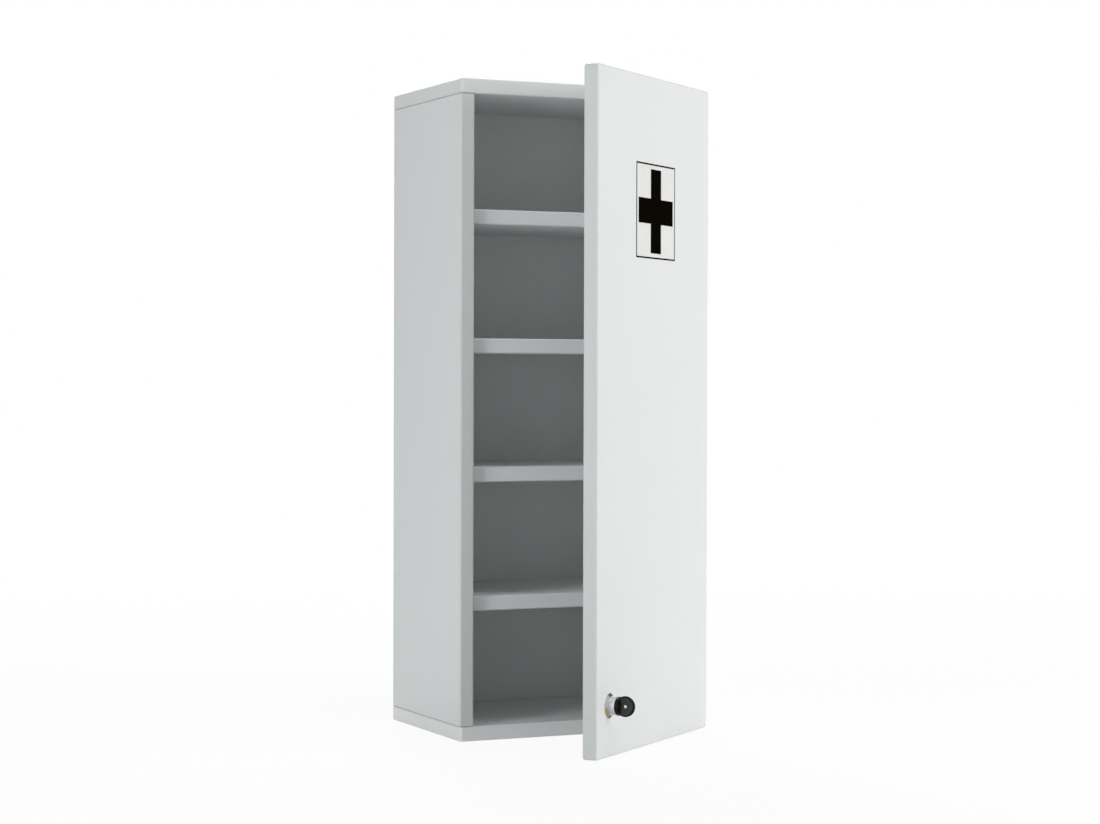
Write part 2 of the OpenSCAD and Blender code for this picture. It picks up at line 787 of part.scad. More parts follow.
module hinge_cup_screws() {
    color(zinc) on_door() for (z = hinge_heights) cup_screw_places(z) countersunk_screw(cup_screw_l);
}

module hinge_pins() {
    color(zinc) on_door() for (z = hinge_heights)
        translate([hinge_x, hinge_y, z - pin_l / 2]) cylinder(h = pin_l, d = hinge_pin_d);
}

// ---- Door ----

module door_panel() {
    color(laminate) on_door() difference() {
        translate([door_reveal + edging_t, door_outer_y, door_reveal + edging_t])
            cube([door_w - 2 * edging_t, door_t, door_h - 2 * edging_t]);
        translate([door_reveal + lock_from_edge, door_outer_y - over, lock_z])
            rotate([-90, 0, 0]) cylinder(h = door_t + 2 * over, r = barrel_d / 2 + slip);
        for (z = hinge_heights) {
            translate([cup_x, -door_gap - cup_depth - play, z]) rotate([-90, 0, 0])
                cylinder(h = cup_depth + play + over, r = cup_r + fit);
            cup_screw_places(z) countersunk_hole(cup_screw_l);
        }
    }
}

module door_edging() {
    color(edging) on_door() translate([door_reveal, -door_gap, door_reveal])
        rotate([90, 0, 0]) edging_round(door_w, door_h, true);
}

// Soft domes near the free edge's corners, which meet the left side board when the door closes
module door_bumpers() {
    height = door_gap - bumper_play;
    z_inset = 2 * board_t;
    color(rubber) on_door() for (z = [z_inset, cabinet_h - z_inset])
        translate([board_t / 2 + door_reveal, -door_gap, z]) rotate([-90, 0, 0]) rotate_extrude()
            intersection() {
                polygon([
                    [0, 0], [bumper_d / 2, 0], [bumper_d / 2 - height / 3, height / 2],
                    [bumper_d / 2 - height, height], [0, height]
                ]);
                square([bumper_d, height]);
            }
}

// ---- Sign ----

// The sign's centre on the door's outer face: Z points out of the door, Y up
module on_sign() {
    on_door() translate([door_reveal + door_w / 2, door_outer_y, door_reveal + door_h - sign_drop])
        rotate([90, 0, 0]) children();
}

module sign_label() {
    color(label_white) on_sign() translate([-sign_w / 2, -sign_w / 2, 0]) cube([sign_w, sign_w, label_t]);
}

module sign_print() {
    color(black) on_sign() translate([0, 0, label_t]) linear_extrude(print_t) {
        difference() {
            square(sign_w, center = true);
            square(sign_w - 2 * border_w, center = true);
        }
        square([cross_l, cross_w], center = true);
        square([cross_w, cross_l], center = true);
    }
}

// ---- Lock ----

module lock_ring() {
    lip = 0.4;
    inner = barrel_d / 2 + slip;
    color(chrome) on_lock() rotate_extrude() polygon([
        [inner, 0], [ring_base_d / 2, 0], [ring_base_d / 2, lip],
        [ring_face_d / 2, ring_h], [inner, ring_h]
    ]);
}

module lock_barrel() {
    chamfer = 0.6;
    flat_x = barrel_d * 0.42;
    color(chrome) on_lock() difference() {
        union() {
            rotate_extrude() polygon([
                [0, ring_h], [head_d / 2, ring_h], [head_d / 2, head_face - chamfer],
                [head_d / 2 - chamfer, head_face], [0, head_face]
            ]);
            intersection() {
                translate([0, 0, barrel_end]) cylinder(h = ring_h - barrel_end, d = barrel_d);
                translate([-flat_x, -barrel_d, barrel_end]) cube([2 * flat_x, 2 * barrel_d, ring_h - barrel_end]);
            }
        }
        translate([0, 0, barrel_end - over])
            cylinder(h = head_face - barrel_end + 2 * over, r = plug_d / 2 + fit);
    }
}

module lock_nut() {
    color(zinc) on_lock() translate([0, 0, -door_t - nut_h]) difference() {
        cylinder(h = nut_h, d = nut_flats / cos(30), $fn = 6);
        translate([0, 0, -over]) cylinder(h = nut_h + 2 * over, r = barrel_d / 2 + slip);
    }
}

module lock_plug() {
    color(chrome) on_plug() difference() {
        union() {
            translate([0, 0, cam_face]) cylinder(h = head_face - cam_face, d = plug_d);
            translate([-plug_square / 2, -plug_square / 2, cam_face - cam_t])
                cube([plug_square, plug_square, cam_t + over]);
        }
        translate([-blade_t / 2 - play / 2, -blade_w / 2 - play / 2, head_face - keyway_l])
            cube([blade_t + play, blade_w + play, keyway_l + over]);
        translate([0, 0, cam_face - cam_t - over]) cylinder(h = 8 + over, r = cam_screw_d / 2 + fit);
    }
}

module lock_cam() {
    color(zinc) on_plug() translate([0, 0, cam_face - cam_t]) linear_extrude(cam_t) difference() {
        union() {
            circle(cam_w / 2 + 1);
            translate([0, cam_reach - cam_w / 2]) intersection() {
                circle(cam_w / 2);
                square(cam_w, center = true);
            }
            translate([-cam_w / 2, 0]) square([cam_w, cam_reach - cam_w / 2]);
        }
        square(plug_square + 2 * fit, center = true);
    }
}

module cam_screw() {
    color(zinc) on_plug() translate([0, 0, cam_face - cam_t]) mirror([0, 0, 1]) difference() {
        union() {
            cylinder(h = cam_head_h, d = cam_head_d);
            translate([0, 0, -7]) cylinder(h = 7, d = cam_screw_d);
        }
        translate([0, 0, cam_head_h]) cross_recess(cam_head_d * 0.6, 1.4);
    }
}

// ---- Key ----

// The blade's outline along the lock's axis, with the cuts that lift the wafers
module blade_outline(root) {
    half = blade_w / 2;
    tip = head_face - blade_l;
    cuts = [for (i = [0 : 4]) [tip + 4.5 + i * 3.6, [1.4, 0.7, 1.7, 1.1, 0.5][i]]];
    difference() {
        polygon([[tip, -half + 2], [tip + 2, -half], [root, -half], [root, half], [tip + 2, half], [tip, half - 2]]);
        for (cut = cuts) polygon([
            [cut[0] - 1 - cut[1], half + 0.01], [cut[0] - 0.8, half - cut[1]],
            [cut[0] + 0.8, half - cut[1]], [cut[0] + 1 + cut[1], half + 0.01]
        ]);
    }
}

module blade_solid() {
    root = bow_centre - bow_hole_d / 2 - 2;
    rotate([0, -90, 0]) translate([0, 0, -blade_t / 2]) linear_extrude(blade_t) blade_outline(root);
}

module key_blade() {
    color(nickel) on_plug() blade_solid();
}

// Section of the round bow from its axis outwards: a bevelled hole, a thin web and a raised rim
module bow_section() {
    half = bow_t / 2;
    web = bow_web_t / 2;
    r = bow_d / 2;
    edge = 1;
    bevel = 0.8;
    hole = bow_hole_d / 2;
    rim = r - 1.8;
    foot = rim - half + web;
    polygon([
        [hole, bevel - web], [hole + bevel, -web], [foot, -web], [rim, -half], [r - edge, -half],
        [r, edge - half], [r, half - edge], [r - edge, half], [rim, half], [foot, web],
        [hole + bevel, web], [hole, web - bevel]
    ]);
}

module key_bow() {
    color(black) on_plug() difference() {
        union() {
            translate([0, 0, bow_centre]) rotate([0, 90, 0]) rotate_extrude() bow_section();
            rotate_extrude() polygon([
                [0, collar_back], [collar_d / 2 - 0.4, collar_back], [collar_d / 2, collar_back + 0.4],
                [collar_d / 2, collar_back + collar_t - 0.8],
                [collar_d / 2 - 0.8, collar_back + collar_t], [0, collar_back + collar_t]
            ]);
        }
        translate([-collar_d, -collar_d, collar_back - bow_d])
            cube([2 * collar_d, 2 * collar_d, bow_d]);
        blade_solid();
    }
}

// ---- Assembly ----

left_side();
right_side();
top_panel();
bottom_panel();
back_panel();
shelf(1);  // shelf_1
shelf(2);  // shelf_2
shelf(3);  // shelf_3
shelf(4);  // shelf_4
side_edging();
top_edging();
bottom_edging();
shelf_edging();
shelf_pins();
carcass_screws();
cover_caps();
back_nails();
hanger_left();
hanger_right();
hanger_screws();
strike_plate();
strike_screws();
hinge_plate(hinge_heights[1]);  // hinge_plate_upper
hinge_plate(hinge_heights[0]);  // hinge_plate_lower
hinge_plate_screws();
hinge_arm(hinge_heights[1]);  // hinge_arm_upper
hinge_arm(hinge_heights[0]);  // hinge_arm_lower
hinge_arm_screws();
door_panel();
door_edging();
door_bumpers();
sign_label();
sign_print();
hinge_cup(hinge_heights[1]);  // hinge_cup_upper
hinge_cup(hinge_heights[0]);  // hinge_cup_lower
hinge_cup_screws();
hinge_pins();
lock_ring();
lock_barrel();
lock_nut();
lock_plug();
lock_cam();
cam_screw();
key_blade();
key_bow();
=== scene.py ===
"""Dresses the lockable medicine cabinet: board finishes, metalwork, sign, lock, key and studio.

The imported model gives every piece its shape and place. This script gives each one its finish,
makes the small repeated metalwork in full detail, and sets the lights and the camera.
"""

from __future__ import annotations

import json
import logging
import math
from collections.abc import Callable, Sequence
from dataclasses import dataclass
from enum import Enum
from types import SimpleNamespace

import bmesh
import bpy
from mathutils import Color, Matrix, Vector

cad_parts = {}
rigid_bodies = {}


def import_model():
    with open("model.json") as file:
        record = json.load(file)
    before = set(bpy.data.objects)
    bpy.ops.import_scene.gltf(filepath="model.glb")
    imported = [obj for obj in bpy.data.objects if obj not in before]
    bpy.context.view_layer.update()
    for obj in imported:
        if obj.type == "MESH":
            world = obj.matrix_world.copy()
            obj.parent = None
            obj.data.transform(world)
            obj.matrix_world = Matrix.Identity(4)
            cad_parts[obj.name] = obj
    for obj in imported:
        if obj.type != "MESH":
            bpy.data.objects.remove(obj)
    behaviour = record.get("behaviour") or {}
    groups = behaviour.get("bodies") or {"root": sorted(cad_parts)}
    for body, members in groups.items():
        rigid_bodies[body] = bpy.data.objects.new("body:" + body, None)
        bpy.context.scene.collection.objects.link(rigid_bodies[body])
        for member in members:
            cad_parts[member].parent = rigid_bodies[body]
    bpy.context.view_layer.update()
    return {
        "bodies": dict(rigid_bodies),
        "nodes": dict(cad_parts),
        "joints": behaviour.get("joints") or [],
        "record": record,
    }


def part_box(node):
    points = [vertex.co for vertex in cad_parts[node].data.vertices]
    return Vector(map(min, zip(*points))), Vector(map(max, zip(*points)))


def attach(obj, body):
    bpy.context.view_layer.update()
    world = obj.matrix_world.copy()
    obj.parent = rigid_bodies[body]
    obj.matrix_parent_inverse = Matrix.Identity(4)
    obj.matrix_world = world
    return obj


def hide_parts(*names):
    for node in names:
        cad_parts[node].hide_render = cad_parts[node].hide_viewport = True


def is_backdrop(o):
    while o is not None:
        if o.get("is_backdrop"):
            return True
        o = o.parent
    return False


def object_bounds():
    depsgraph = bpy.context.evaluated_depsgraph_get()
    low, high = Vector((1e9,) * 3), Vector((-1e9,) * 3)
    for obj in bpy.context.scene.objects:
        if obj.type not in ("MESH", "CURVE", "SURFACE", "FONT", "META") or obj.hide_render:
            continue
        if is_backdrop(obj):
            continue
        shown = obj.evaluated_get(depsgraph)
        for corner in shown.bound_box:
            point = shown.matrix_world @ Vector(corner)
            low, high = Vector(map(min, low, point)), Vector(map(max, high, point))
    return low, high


LOG = logging.getLogger("medicine_cabinet")
MM = 0.001
WELD = 0.002 * MM

Colour = tuple[float, float, float]
Material, Piece, EditMesh = bpy.types.Material, bpy.types.Object, bmesh.types.BMesh
Sizes = SimpleNamespace


def shade(red: int, green: int, blue: int) -> Colour:
    """A colour in scene values, from display values of 0 to 255."""
    return tuple(Color((red / 255, green / 255, blue / 255)).from_srgb_to_scene_linear())


def scaled(tone: Colour, factor: float) -> Colour:
    """A lighter or darker tone, held at 1."""
    return tuple(min(1.0, part * factor) for part in tone)


# ---- Node trees ----


def operator(operation: str, swapped: bool = False) -> Callable[..., Value]:
    """Makes a method of a value that adds one Math node.

    Args:
        operation: The node's operation.
        swapped: Whether the value itself comes last.

    Returns:
        The method, which takes the other terms.
    """
    def method(value: Value, *others: Value | float) -> Value:
        """Adds the node with its terms in order."""
        terms = (*others, value) if swapped else (value, *others)
        return value.graph.node("ShaderNodeMath", {"operation": operation}, dict(enumerate(terms)))
    return method


class Value:
    """A node's output, with the arithmetic that the finishes and the turned pieces use."""

    __add__ = __radd__ = operator("ADD")
    __sub__ = operator("SUBTRACT")
    __rsub__ = operator("SUBTRACT", swapped=True)
    __mul__ = __rmul__ = operator("MULTIPLY")
    __truediv__ = operator("DIVIDE")
    __abs__ = operator("ABSOLUTE")
    __gt__ = operator("GREATER_THAN")
    arctan2 = operator("ARCTAN2")
    larger = operator("MAXIMUM")

    def __init__(self, graph: Graph, socket: bpy.types.NodeSocket) -> None:
        """Wraps an output socket of a graph."""
        self.graph = graph
        self.socket = socket

    def __neg__(self) -> Value:
        """The opposite value."""
        return self * -1.0

    def wrapped(self, period: float) -> Value:
        """Repeats the value once in each period, centred on zero."""
        terms = {0: self, 1: period / 2, 2: -period / 2}
        return self.graph.node("ShaderNodeMath", {"operation": "WRAP"}, terms)

    def ramp(self, low: float, high: float) -> Value:
        """Rises smoothly from 0 at low to 1 at high, and is held beyond them."""
        smooth = {"interpolation_type": "SMOOTHSTEP"}
        return self.graph.node("ShaderNodeMapRange", smooth, Value=self, From_Min=low, From_Max=high)


class Graph:
    """A node tree, with one method that makes every node."""

    def __init__(self, tree: bpy.types.NodeTree) -> None:
        """Takes an empty tree to fill."""
        self.tree = tree

    def node(
        self,
        kind: str,
        settings: dict[str, object] | None = None,
        numbered: dict[int, object] | None = None,
        output: str | int = 0,
        **named: object,
    ) -> Value:
        """Makes a node.

        Args:
            kind: The node's type.
            settings: Its own properties. "stops" gives a colour ramp's places and colours.
            numbered: Values or links of its inputs by number. A list joins several links.
            output: The output to hand back.
            **named: Values or links of its inputs by name, with underscores for the spaces.

        Returns:
            The chosen output.
        """
        made = self.tree.nodes.new(kind)
        for key, setting in (settings or {}).items():
            if key == "stops":
                self._set_stops(made.color_ramp, setting)
            else:
                setattr(made, key, setting)
        spaced = {key.replace("_", " "): given for key, given in named.items()}
        for key, given in {**(numbered or {}), **spaced}.items():
            if isinstance(given, (Value, list)):
                for one in given if isinstance(given, list) else [given]:
                    self.tree.links.new(one.socket, made.inputs[key])
            else:
                made.inputs[key].default_value = given
        return Value(self, made.outputs[output] if made.outputs else None)

    @staticmethod
    def _set_stops(ramp: bpy.types.ColorRamp, stops: Sequence[tuple[float, Colour]]) -> None:
        """Gives a colour ramp its stops.

        Args:
            ramp: The ramp.
            stops: The place and the colour of each stop.
        """
        while len(ramp.elements) < len(stops):
            ramp.elements.new(1.0)
        for element, (place, colour) in zip(ramp.elements, stops):
            element.position = place
            element.color = (*colour, 1.0)


class ShaderGraph(Graph):
    """The node tree of one material."""

    def __init__(self, name: str) -> None:
        """Starts an empty material with the given name.

        Args:
            name: The material's name.
        """
        self.material = bpy.data.materials.new(name)
        self.material.use_nodes = True
        super().__init__(self.material.node_tree)
        self.tree.nodes.clear()
        self.place = self.node("ShaderNodeTexCoord", output="Object")

    def axes(self, vector: Value) -> tuple[Value, Value, Value]:
        """The three coordinates of a vector."""
        split = self.node("ShaderNodeSeparateXYZ", Vector=vector).socket.node
        return tuple(Value(self, socket) for socket in split.outputs)

    def turned(self, angle: float, stretch: Sequence[float] = (1, 1, 1)) -> Value:
        """The place on the piece, turned about Z by radians and then stretched."""
        given = {"Vector": self.place, "Rotation": (0, 0, angle), "Scale": stretch}
        return self.node("ShaderNodeMapping", {"vector_type": "POINT"}, **given)

    def noise(
        self,
        size_mm: float,
        detail: float = 2.0,
        roughness: float = 0.5,
        turn: float = 0.0,
        stretch: Sequence[float] = (),
    ) -> Value:
        """Soft noise.

        Args:
            size_mm: Size of its largest features.
            detail: Number of finer layers.
            roughness: Weight of the finer layers.
            turn: Angle about Z of a grain that runs along the piece, in radians.
            stretch: Factors along the turned axes, if there is a grain.

        Returns:
            A value round 0.5.
        """
        place = self.turned(turn, stretch) if stretch else self.place
        scale = 1 / (size_mm * MM)
        return self.node("ShaderNodeTexNoise", Vector=place, Scale=scale, Detail=detail, Roughness=roughness)

    def scratches(self) -> Value:
        """Fine polishing lines."""
        return self.noise(0.4, 3, turn=1.1, stretch=(1, 0.06, 1))

    def mix(self, factor: Value | float, first: Value | Colour, second: Value | Colour) -> Value:
        """Blends two colours, from the first at 0 to the second at 1."""
        first, second = (c if isinstance(c, Value) else (*c, 1.0) for c in (first, second))
        return self.node("ShaderNodeMix", {"data_type": "RGBA"}, {0: factor, 6: first, 7: second}, output=2)

    def length(self, *legs: Value) -> Value:
        """Length of the vector with these coordinates."""
        vector = self.node("ShaderNodeCombineXYZ", None, dict(enumerate(legs)))
        return self.node("ShaderNodeVectorMath", {"operation": "LENGTH"}, {0: vector}, output="Value")

    def bump(self, height: Value, depth_mm: float, strength: float) -> Value:
        """A normal that follows a height of 0 to 1."""
        return self.node("ShaderNodeBump", Height=height, Distance=depth_mm * MM, Strength=strength)

    def finish(self, **inputs: object) -> Material:
        """Closes the graph with a surface shader, whose inputs are given as in node."""
        self.node("ShaderNodeOutputMaterial", Surface=self.node("ShaderNodeBsdfPrincipled", **inputs))
        return self.material


class GeometryGraph(Graph):
    """The node tree of one small piece that is made once and set at many places."""

    FACING = "facing"
    RAIL = 10 * MM
    TURN_STEPS = 20
    RECESS_MOUTH, RECESS_FOOT, RECESS_ARM = 1.08, 0.26, 0.27
    RECESS_SPARE = 0.3 * MM

    def __init__(self, name: str, sizes: Sequence[str]) -> None:
        """Starts a tree with a named input for each size.

        Args:
            name: The tree's name.
            sizes: Names of its sizes.
        """
        super().__init__(bpy.data.node_groups.new(name, "GeometryNodeTree"))
        sockets = [("Geometry", "INPUT"), *((size, "INPUT") for size in sizes), ("Geometry", "OUTPUT")]
        for socket, way in sockets:
            kind = "NodeSocketFloat" if socket in sizes else "NodeSocketGeometry"
            self.tree.interface.new_socket(socket, in_out=way, socket_type=kind)
        self.given = self.node("NodeGroupInput")
        outputs = self.given.socket.node.outputs
        self.sizes = Sizes(**{size: Value(self, outputs[size]) for size in sizes})

    def vector(self, x: Value | float, y: Value | float, z: Value | float = 0.0) -> Value:
        """Joins three numbers to a vector."""
        return self.node("ShaderNodeCombineXYZ", X=x, Y=y, Z=z)

    def moved(self, shape: Value, **placed: object) -> Value:
        """A shape after the given Translation, Rotation and Scale."""
        return self.node("GeometryNodeTransform", Geometry=shape, **placed)

    def circle(self, sides: int, radius: Value | float) -> Value:
        """A flat circle."""
        return self.node("GeometryNodeCurvePrimitiveCircle", Resolution=sides, Radius=radius)

    def lathe(self, section: Sequence[tuple[Value | float, Value | float]], sides: int) -> Value:
        """Sweeps a section round the Z axis.

        Args:
            section: Radius and height of each corner, upwards from one end on the axis to the other.
            sides: Number of flat sides.

        Returns:
            The closed shape.
        """
        index = self.node("GeometryNodeInputIndex")
        places = self.node("GeometryNodeIndexSwitch", {"data_type": "VECTOR"}, Index=index)
        switch = places.socket.node
        while len(switch.index_switch_items) < len(section):
            switch.index_switch_items.new()
        for number, (radius, height) in enumerate(section):
            corner = self.vector(radius - self.RAIL, -height)
            self.tree.links.new(corner.socket, switch.inputs[number + 1])
        line = self.node("GeometryNodeMeshLine", {"mode": "OFFSET"}, Count=len(section))
        shaped = self.node("GeometryNodeSetPosition", Geometry=line, Position=places)
        profile = self.node("GeometryNodeMeshToCurve", Mesh=shaped)
        rail = self.circle(sides, self.RAIL)
        swept = self.node("GeometryNodeCurveToMesh", Curve=rail, Profile_Curve=profile)
        closed = self.node("GeometryNodeMergeByDistance", Geometry=swept, Distance=WELD)
        return self.node("GeometryNodeFlipFaces", Mesh=closed)

    def thread(self, root: Value, top: Value, run: Value, pitch: Value, ridge: Value) -> Value:
        """Makes the ridge of a screw thread.

        Args:
            root: Radius of the thread's root.
            top: Height at which it starts.
            run: Its length along the axis.
            pitch: Distance between turns.
            ridge: Height of the ridge.

        Returns:
            The ridge.
        """
        radii = {"Start_Radius": root, "End_Radius": root}
        spiral = self.node(
            "GeometryNodeCurveSpiral", Resolution=self.TURN_STEPS, Rotations=run / pitch, Height=run, **radii
        )
        profile = self.circle(3, ridge)
        swept = self.node("GeometryNodeCurveToMesh", Curve=spiral, Profile_Curve=profile, Fill_Caps=True)
        return self.moved(swept, Translation=self.vector(0.0, 0.0, top - run))

    def recessed(self, shape: Value, mouth: Value, depth: Value) -> Value:
        """Cuts a tapered cross recess into a head whose top is at z = 0.

        Args:
            shape: The piece.
            mouth: Length of the cross at its mouth.
            depth: Depth of the recess.

        Returns:
            The recessed piece.
        """
        wedge = self.node(
            "GeometryNodeMeshCone",
            Vertices=4,
            Radius_Top=mouth * (self.RECESS_MOUTH / math.sqrt(2)),
            Radius_Bottom=mouth * self.RECESS_FOOT,
            Depth=depth + self.RECESS_SPARE,
        )
        square = self.moved(wedge, Rotation=(0, 0, math.pi / 4))
        down = self.vector(0.0, 0.0, -depth)
        arm = self.moved(square, Translation=down, Scale=(1, self.RECESS_ARM, 1))
        cutters = [arm, self.moved(arm, Rotation=(0, 0, math.pi / 2))]
        exact = {"operation": "DIFFERENCE", "solver": "EXACT"}
        return self.node("GeometryNodeMeshBoolean", exact, Mesh_1=shape, Mesh_2=cutters)

    def finish(self, shape: Value, finish: Finish, seed: int) -> None:
        """Sets the shape at each given point, facing the way that is kept there, and closes the tree.

        Args:
            shape: The piece, with its axis along Z.
            finish: Its finish.
            seed: Seed of its turns about its axis.
        """
        vector = {"data_type": "FLOAT_VECTOR"}
        facing = self.node("GeometryNodeInputNamedAttribute", vector, Name=self.FACING)
        upright = self.node("FunctionNodeAlignRotationToVector", {"axis": "Z"}, Vector=facing)
        limits = {2: 0.0, 3: math.tau}
        angle = self.node("FunctionNodeRandomValue", {"data_type": "FLOAT"}, limits, output=1, Seed=seed)
        spin = self.node("FunctionNodeAxisAngleToRotation", Axis=(0, 0, 1), Angle=angle)
        local = {"rotation_space": "LOCAL"}
        turn = self.node("FunctionNodeRotateRotation", local, Rotation=upright, Rotate_By=spin)
        placed = self.node("GeometryNodeInstanceOnPoints", Points=self.given, Instance=shape, Rotation=turn)
        solid = self.node("GeometryNodeRealizeInstances", Geometry=placed)
        dressed = self.node("GeometryNodeSetMaterial", Geometry=solid, Material=finish.material())
        self.node("NodeGroupOutput", Geometry=dressed)


# ---- Finishes ----


class Finish:
    """A surface finish that is made once and then shared."""

    name: str
    slot: str
    _made: dict[Finish, Material] = {}

    def material(self) -> Material:
        """The finish's material, made at its first use.

        Returns:
            The one material that all pieces of this finish share.
        """
        if self not in self._made:
            self._made[self] = self.build(ShaderGraph(self.name))
        return self._made[self]

    def build(self, graph: ShaderGraph) -> Material:
        """Makes the material in an empty graph."""
        raise NotImplementedError


class Across(Enum):
    """Direction in which a board's thickness runs."""

    X = 0
    Y = 1
    Z = 2


@dataclass(frozen=True)
class DirtAndShadeLine:
    """A thin line of dirt and painted shadow where two boards meet or a board ends."""

    across: Across
    place: float
    strength: float
    width: float = 1.1 * MM
    core: float = 0.6
    # Dark tone of the dirt and painted shadow.
    tone: Colour = shade(52, 52, 48)

    def over(self, graph: ShaderGraph, tone: Value) -> Value:
        """Darkens a tone along the line.

        Args:
            graph: The material's tree.
            tone: The clean tone.

        Returns:
            The tone with the line in it.
        """
        patches = graph.noise(25, 3).ramp(0.2, 0.6) * 0.3 + 0.7
        distance = abs(graph.axes(graph.place)[self.across.value] - self.place)
        # Dirt and painted shadow along the line.
        cover = 1.0 - distance.ramp(self.width * self.core, self.width)
        return graph.mix(cover * patches * self.strength, tone, self.tone)


@dataclass(frozen=True)
class Laminate(Finish):
    """White pearl-textured laminate on both faces of a chipboard core."""

    name: str
    across: Across
    middle: float
    thickness: float
    turn: float = 0.0
    period: float = 0.0
    soil: tuple[DirtAndShadeLine, ...] = ()
    tone: Colour = shade(234, 236, 236)
    dimmest: float = 0.97
    brightest: float = 1.006
    core_light: Colour = shade(214, 186, 142)
    core_dark: Colour = shade(142, 106, 66)
    chips_per_metre: float = 620.0
    sheet: float = 0.15 * MM

    def build(self, graph: ShaderGraph) -> Material:
        """Makes the laminate, with the core where a cut edge is left bare.

        Args:
            graph: The empty graph to build in.

        Returns:
            The material.
        """
        offset = graph.axes(graph.turned(self.turn))[self.across.value] - self.middle
        if self.period:
            offset = offset.wrapped(self.period)
        sheet = abs(offset) > self.thickness / 2 - self.sheet
        cloud = graph.noise(320, 3)
        smear = graph.noise(45, 4, 0.6, 0.4, (1, 1, 0.25))
        pearl = graph.noise(1.3, 1.5, 0.45)
        flecks = graph.noise(0.7, 3, 0.65)
        mottle = cloud * 0.4 + flecks.ramp(0.3, 0.7) * 0.6
        white = graph.mix(mottle, scaled(self.tone, self.dimmest), scaled(self.tone, self.brightest))
        # Lines of dirt and painted shadow.
        for line in self.soil:
            white = line.over(graph, white)
        cells = graph.turned(0, (1, 1, 1.6))
        nearest = {"feature": "F1"}
        chips = graph.node(
            "ShaderNodeTexVoronoi", nearest, output="Color", Vector=cells, Scale=self.chips_per_metre
        )
        grain = graph.noise(3.5, 4, 0.65)
        wood = graph.mix(graph.axes(chips)[0] * 0.65 + grain * 0.35, self.core_dark, self.core_light)
        ends = {0: sheet, 4: graph.bump(grain, 0.5, 0.6), 5: graph.bump(pearl, 0.045, 0.5)}
        return graph.finish(
            Base_Color=graph.mix(sheet, wood, white),
            Roughness=(1 - sheet) * 0.3 + smear * 0.14 + 0.44,
            Normal=graph.node("ShaderNodeMix", {"data_type": "VECTOR"}, ends, output=1),
            Specular_IOR_Level=0.25,
        )


@dataclass(frozen=True)
class Edging(Finish):
    """White plastic edging with the fine lines of its extrusion."""

    name: str = "edging_plastic"
    # Darker than the carcass's other edging tones: painted shade on the side and door edgings, which keep
    # this tone.
    tone: Colour = shade(224, 227, 226)
    soil: tuple[DirtAndShadeLine, ...] = ()
    slot: str = "cap_plastic"
    dimmest: float = 0.98

    def build(self, graph: ShaderGraph) -> Material:
        """Makes the edging.

        Args:
            graph: The empty graph to build in.

        Returns:
            The material.
        """
        mottle = graph.noise(60, 3)
        lines = graph.noise(0.9, stretch=(1, 1, 0.05))
        tone = graph.mix(mottle, scaled(self.tone, self.dimmest), self.tone)
        # Lines of dirt and painted shadow.
        for line in self.soil:
            tone = line.over(graph, tone)
        return graph.finish(
            Base_Color=tone,
            Roughness=mottle * 0.12 + lines * 0.06 + 0.42,
            Normal=graph.bump(lines, 0.012, 0.5),
            Specular_IOR_Level=0.35,
        )


@dataclass(frozen=True)
class Hardboard(Finish):
    """Hardboard, lacquered white inside the cabinet and bare brown behind."""

    inner_y: float
    name: str = "hardboard"
    lacquer: Colour = shade(226, 228, 227)
    dimmest: float = 0.97
    brown: Colour = shade(136, 98, 62)
    pale: Colour = shade(170, 132, 90)
    film: float = 0.2 * MM

    def build(self, graph: ShaderGraph) -> Material:
        """Makes the board, with its lacquer only on the inner face.

        Args:
            graph: The empty graph to build in.

        Returns:
            The material.
        """
        bare = graph.axes(graph.place)[Across.Y.value] > self.inner_y + self.film
        fibres = graph.noise(6, 5, 0.7, 0.3, (1, 1, 4))
        flecks = graph.noise(1.6, 3, 0.6)
        cloud = graph.noise(140, 3)
        blend = fibres * 0.5 + flecks * 0.3 + cloud * 0.2
        board = graph.mix(blend.ramp(0.32, 0.68), self.brown, self.pale)
        white = graph.mix(cloud, scaled(self.lacquer, self.dimmest), self.lacquer)
        return graph.finish(
            Base_Color=graph.mix(bare, white, board),
            Roughness=bare * 0.35 + flecks * 0.1 + 0.38,
            Normal=graph.bump(flecks, 0.06, 0.4),
        )


@dataclass(frozen=True)
class PlatedSteel(Finish):
    """Nickel or zinc plating over pressed or turned steel."""

    name: str
    slot: str
    tone: Colour
    cast: Colour
    smoothest: float

    def build(self, graph: ShaderGraph) -> Material:
        """Makes the plating, with drawing lines and a faint cast.

        Args:
            graph: The empty graph to build in.

        Returns:
            The material.
        """
        cloud = graph.noise(9, 4, 0.6)
        lines = graph.noise(0.5, 3, 0.5, 0.2, (1, 1, 0.08))
        pits = graph.noise(0.35)
        return graph.finish(
            Base_Color=graph.mix(cloud.ramp(0.35, 0.75), self.tone, self.cast),
            Metallic=1.0,
            Roughness=cloud * 0.16 + lines * 0.12 + self.smoothest,
            Normal=graph.bump(pits * 0.5 + lines * 0.5, 0.015, 0.5),
        )


@dataclass(frozen=True)
class Chrome(Finish):
    """Polished chrome with fine wear."""

    name: str = "chrome"
    smoothest: float = 0.12
    tone: Colour = shade(226, 228, 230)
    worn: Colour = shade(196, 198, 200)
    slot: str = "chrome"

    def build(self, graph: ShaderGraph) -> Material:
        """Makes the chrome.

        Args:
            graph: The empty graph to build in.

        Returns:
            The material.
        """
        cloud = graph.noise(7, 4, 0.6)
        scratches = graph.scratches()
        return graph.finish(
            Base_Color=graph.mix(cloud.ramp(0.5, 0.8), self.tone, self.worn),
            Metallic=1.0,
            Roughness=cloud * 0.1 + scratches * 0.12 + self.smoothest,
            Normal=graph.bump(scratches, 0.004, 0.4),
        )


